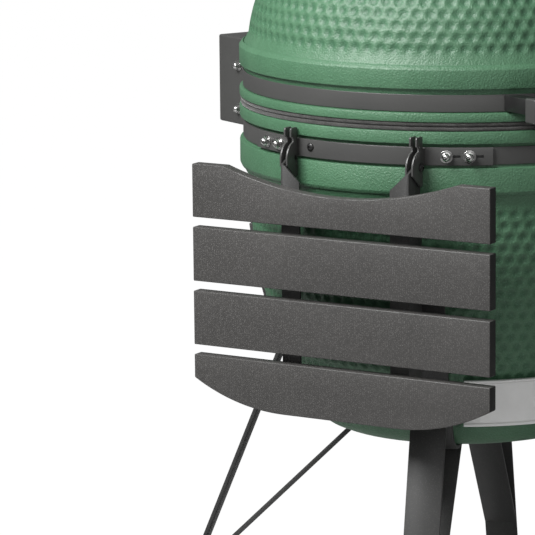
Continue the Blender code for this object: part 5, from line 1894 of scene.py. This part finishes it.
@dataclass
class FireSet:
    """What is inside: fire ring, firebox and the two grates."""

    ring_high: float = -0.0300
    grate_radius: float = 0.2320
    bar: float = 0.0029
    bars: int = 25
    cross_bar_y: float = 0.11

    def grate(self) -> Thing:
        """Round bars across a hoop, with two bars under them.

        Returns:
            The grate.
        """
        low = self.ring_high + 0.0003
        middle = low + self.bar
        hoop = turned("grate_bars", arc((self.grate_radius - self.bar - 0.0003, middle + 0.0001),
                                        self.bar, 0.0, 330.0, 12), 120)
        parts = [hoop]
        reach = self.grate_radius - self.bar - 0.0005
        for i in range(self.bars):
            x = -reach + 2.0 * reach * (i + 1) / (self.bars + 1)
            half = math.sqrt(reach ** 2 - x ** 2)
            parts.append(rod("bar", self.bar * 0.9, Vector((x, -half, middle)),
                             Vector((x, half, middle)), 12))
        for y in (-self.cross_bar_y, self.cross_bar_y):
            half = math.sqrt(reach ** 2 - y ** 2)
            parts.append(rod("bar", self.bar * 0.9, Vector((-half, y, middle)),
                             Vector((half, y, middle)), 12))
        return joined("grate_bars", *parts)

    def build(self, shop: Workshop) -> None:
        """Replace the cooking grate; the rest keeps its shape.

        Args:
            shop: The paintbox and where the grill stands.
        """
        shop.repaint(CLAY, "fire_ring", "firebox")
        shop.repaint(IRON, "charcoal_grate")
        grate = settle(self.grate(), shop.rim)
        shop.dress(grate, "base", BRUSHED, ("cooking_grate",), angle=50.0)


# ---------------------------------------------------------------- studio
@dataclass
class Studio:
    """Pale floor, soft light and the camera.

    The camera stands to the front left, a little above the rim, and looks past the left shelf:
    aim_left and aim_up turn its view from the grill's axis, as shares of the distance.
    """

    azimuth: float = -36.0
    distance: float = 4.62
    height: float = 0.643
    pitch: float = 10.70
    lens: float = 242.176
    aim_left: float = 0.053626
    aim_up: float = 0.001945
    sensor: float = 36.0
    ambient: float = 0.22
    backdrop: float = 1.05
    key_power: float = 96.0
    fill_power: float = 15.0
    floor_glow: float = 1.10
    floor_fade: float = 0.90

    def build_camera(self, shop: Workshop) -> None:
        """The camera, turned so that its lens needs no shift.

        Args:
            shop: The paintbox and where the grill stands.
        """
        turn = math.radians(self.azimuth)
        back = Vector((math.sin(turn), -math.cos(turn), 0.0))
        right = Vector((math.cos(turn), math.sin(turn), 0.0))
        tilt = math.radians(self.pitch)
        forward = -back * math.cos(tilt) - Vector((0, 0, 1)) * math.sin(tilt)
        upward = -back * math.sin(tilt) + Vector((0, 0, 1)) * math.cos(tilt)
        aim = (forward - right * self.aim_left + upward * self.aim_up).normalized()
        side = (right - aim * right.dot(aim)).normalized()
        lens = bpy.data.cameras.new("camera")
        lens.sensor_width = self.sensor
        lens.lens = self.lens
        lens.clip_end = 50.0
        camera = bpy.data.objects.new("camera", lens)
        rows = Matrix((side, side.cross(aim), -aim)).transposed().to_4x4()
        at = back * self.distance + Vector((0.0, shop.axis_y, shop.rim_z + self.height))
        camera.matrix_world = Matrix.Translation(at) @ rows
        bpy.context.scene.collection.objects.link(camera)
        bpy.context.scene.camera = camera

    def area(self, name: str, at: Triple, to: Triple, size: tuple[float, float],
             power: float) -> None:
        """One soft light.

        Args:
            name: Its name.
            at: Where it hangs.
            to: Where it points.
            size: Its width and height.
            power: Watts.
        """
        data = bpy.data.lights.new(name, "AREA")
        data.shape = "RECTANGLE"
        data.size, data.size_y = size
        data.energy = power
        lamp = bpy.data.objects.new(name, data)
        aim = Vector(to) - Vector(at)
        lamp.matrix_world = Matrix.Translation(at) @ aim.to_track_quat("-Z", "Y").to_matrix().to_4x4()
        bpy.context.scene.collection.objects.link(lamp)

    def floor_material(self) -> bpy.types.Material:
        """A pale matt floor that melts into the white backdrop and keeps a faint shadow.

        Returns:
            The material.
        """
        material = bpy.data.materials.new("pale_floor")
        material.use_nodes = True
        nodes, links = material.node_tree.nodes, material.node_tree.links
        shader = nodes["Principled BSDF"]
        shader.inputs["Base Color"].default_value = (0.45, 0.45, 0.45, 1)
        shader.inputs["Roughness"].default_value = 0.95
        shader.inputs["Specular IOR Level"].default_value = 0.0
        glow = nodes.new("ShaderNodeEmission")
        glow.inputs["Strength"].default_value = self.floor_glow
        seen = nodes.new("ShaderNodeLightPath")
        part = nodes.new("ShaderNodeMath")
        part.operation = "MULTIPLY"
        part.inputs[1].default_value = self.floor_fade
        mix = nodes.new("ShaderNodeMixShader")
        links.new(seen.outputs["Is Camera Ray"], part.inputs[0])
        links.new(part.outputs["Value"], mix.inputs["Fac"])
        links.new(shader.outputs["BSDF"], mix.inputs[1])
        links.new(glow.outputs["Emission"], mix.inputs[2])
        links.new(mix.outputs["Shader"], nodes["Material Output"].inputs["Surface"])
        return material

    def build_floor(self) -> None:
        """A pale floor that runs far behind the grill."""
        deselect()
        bpy.ops.mesh.primitive_plane_add(size=60.0, location=(0, 0, -0.0005))
        floor = bpy.context.active_object
        floor.name = "floor"
        floor.data.materials.append(self.floor_material())
        settle(floor)

    def build_world(self) -> None:
        """A white backdrop whose light on the grill is weaker than it looks."""
        world = bpy.data.worlds.new("studio")
        world.use_nodes = True
        nodes, links = world.node_tree.nodes, world.node_tree.links
        backdrop = nodes["Background"]
        backdrop.inputs["Color"].default_value = (1.0, 1.0, 1.0, 1.0)
        seen = nodes.new("ShaderNodeLightPath")
        strength = nodes.new("ShaderNodeMapRange")
        strength.inputs["To Min"].default_value = self.ambient
        strength.inputs["To Max"].default_value = self.backdrop
        links.new(seen.outputs["Is Camera Ray"], strength.inputs["Value"])
        links.new(strength.outputs["Result"], backdrop.inputs["Strength"])
        bpy.context.scene.world = world

    def build(self, shop: Workshop) -> None:
        """Camera, floor and lights.

        Args:
            shop: The paintbox and where the grill stands.
        """
        self.build_camera(shop)
        self.build_floor()
        self.build_world()
        self.area("key", (-1.75, -0.20, 2.35), (0.0, 0.0, 0.80), (1.1, 1.1), self.key_power)
        self.area("front_fill", (-1.6, -3.0, 1.9), (0.0, 0.0, 0.7), (1.8, 1.8),
                  self.fill_power)
        bpy.context.scene.view_settings.view_transform = "Standard"


# ---------------------------------------------------------------- main
def main() -> None:
    """Build every sub-assembly in order."""
    logging.basicConfig(level=logging.INFO, format="%(message)s")
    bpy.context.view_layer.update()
    shop = Workshop.open()
    shells = CeramicShells()
    shells.build(shop)
    BandsAndGaskets().build(shop)
    SideShelves().build(shop)
    Stand().build(shop)
    DraftDoor().build(shop, shells)
    LidHinge().build(shop)
    LidHandle().build(shop)
    Thermometer().build(shop)
    TopVent().build(shop)
    FireSet().build(shop)
    Studio().build(shop)


if __name__ == "__main__":
    main()
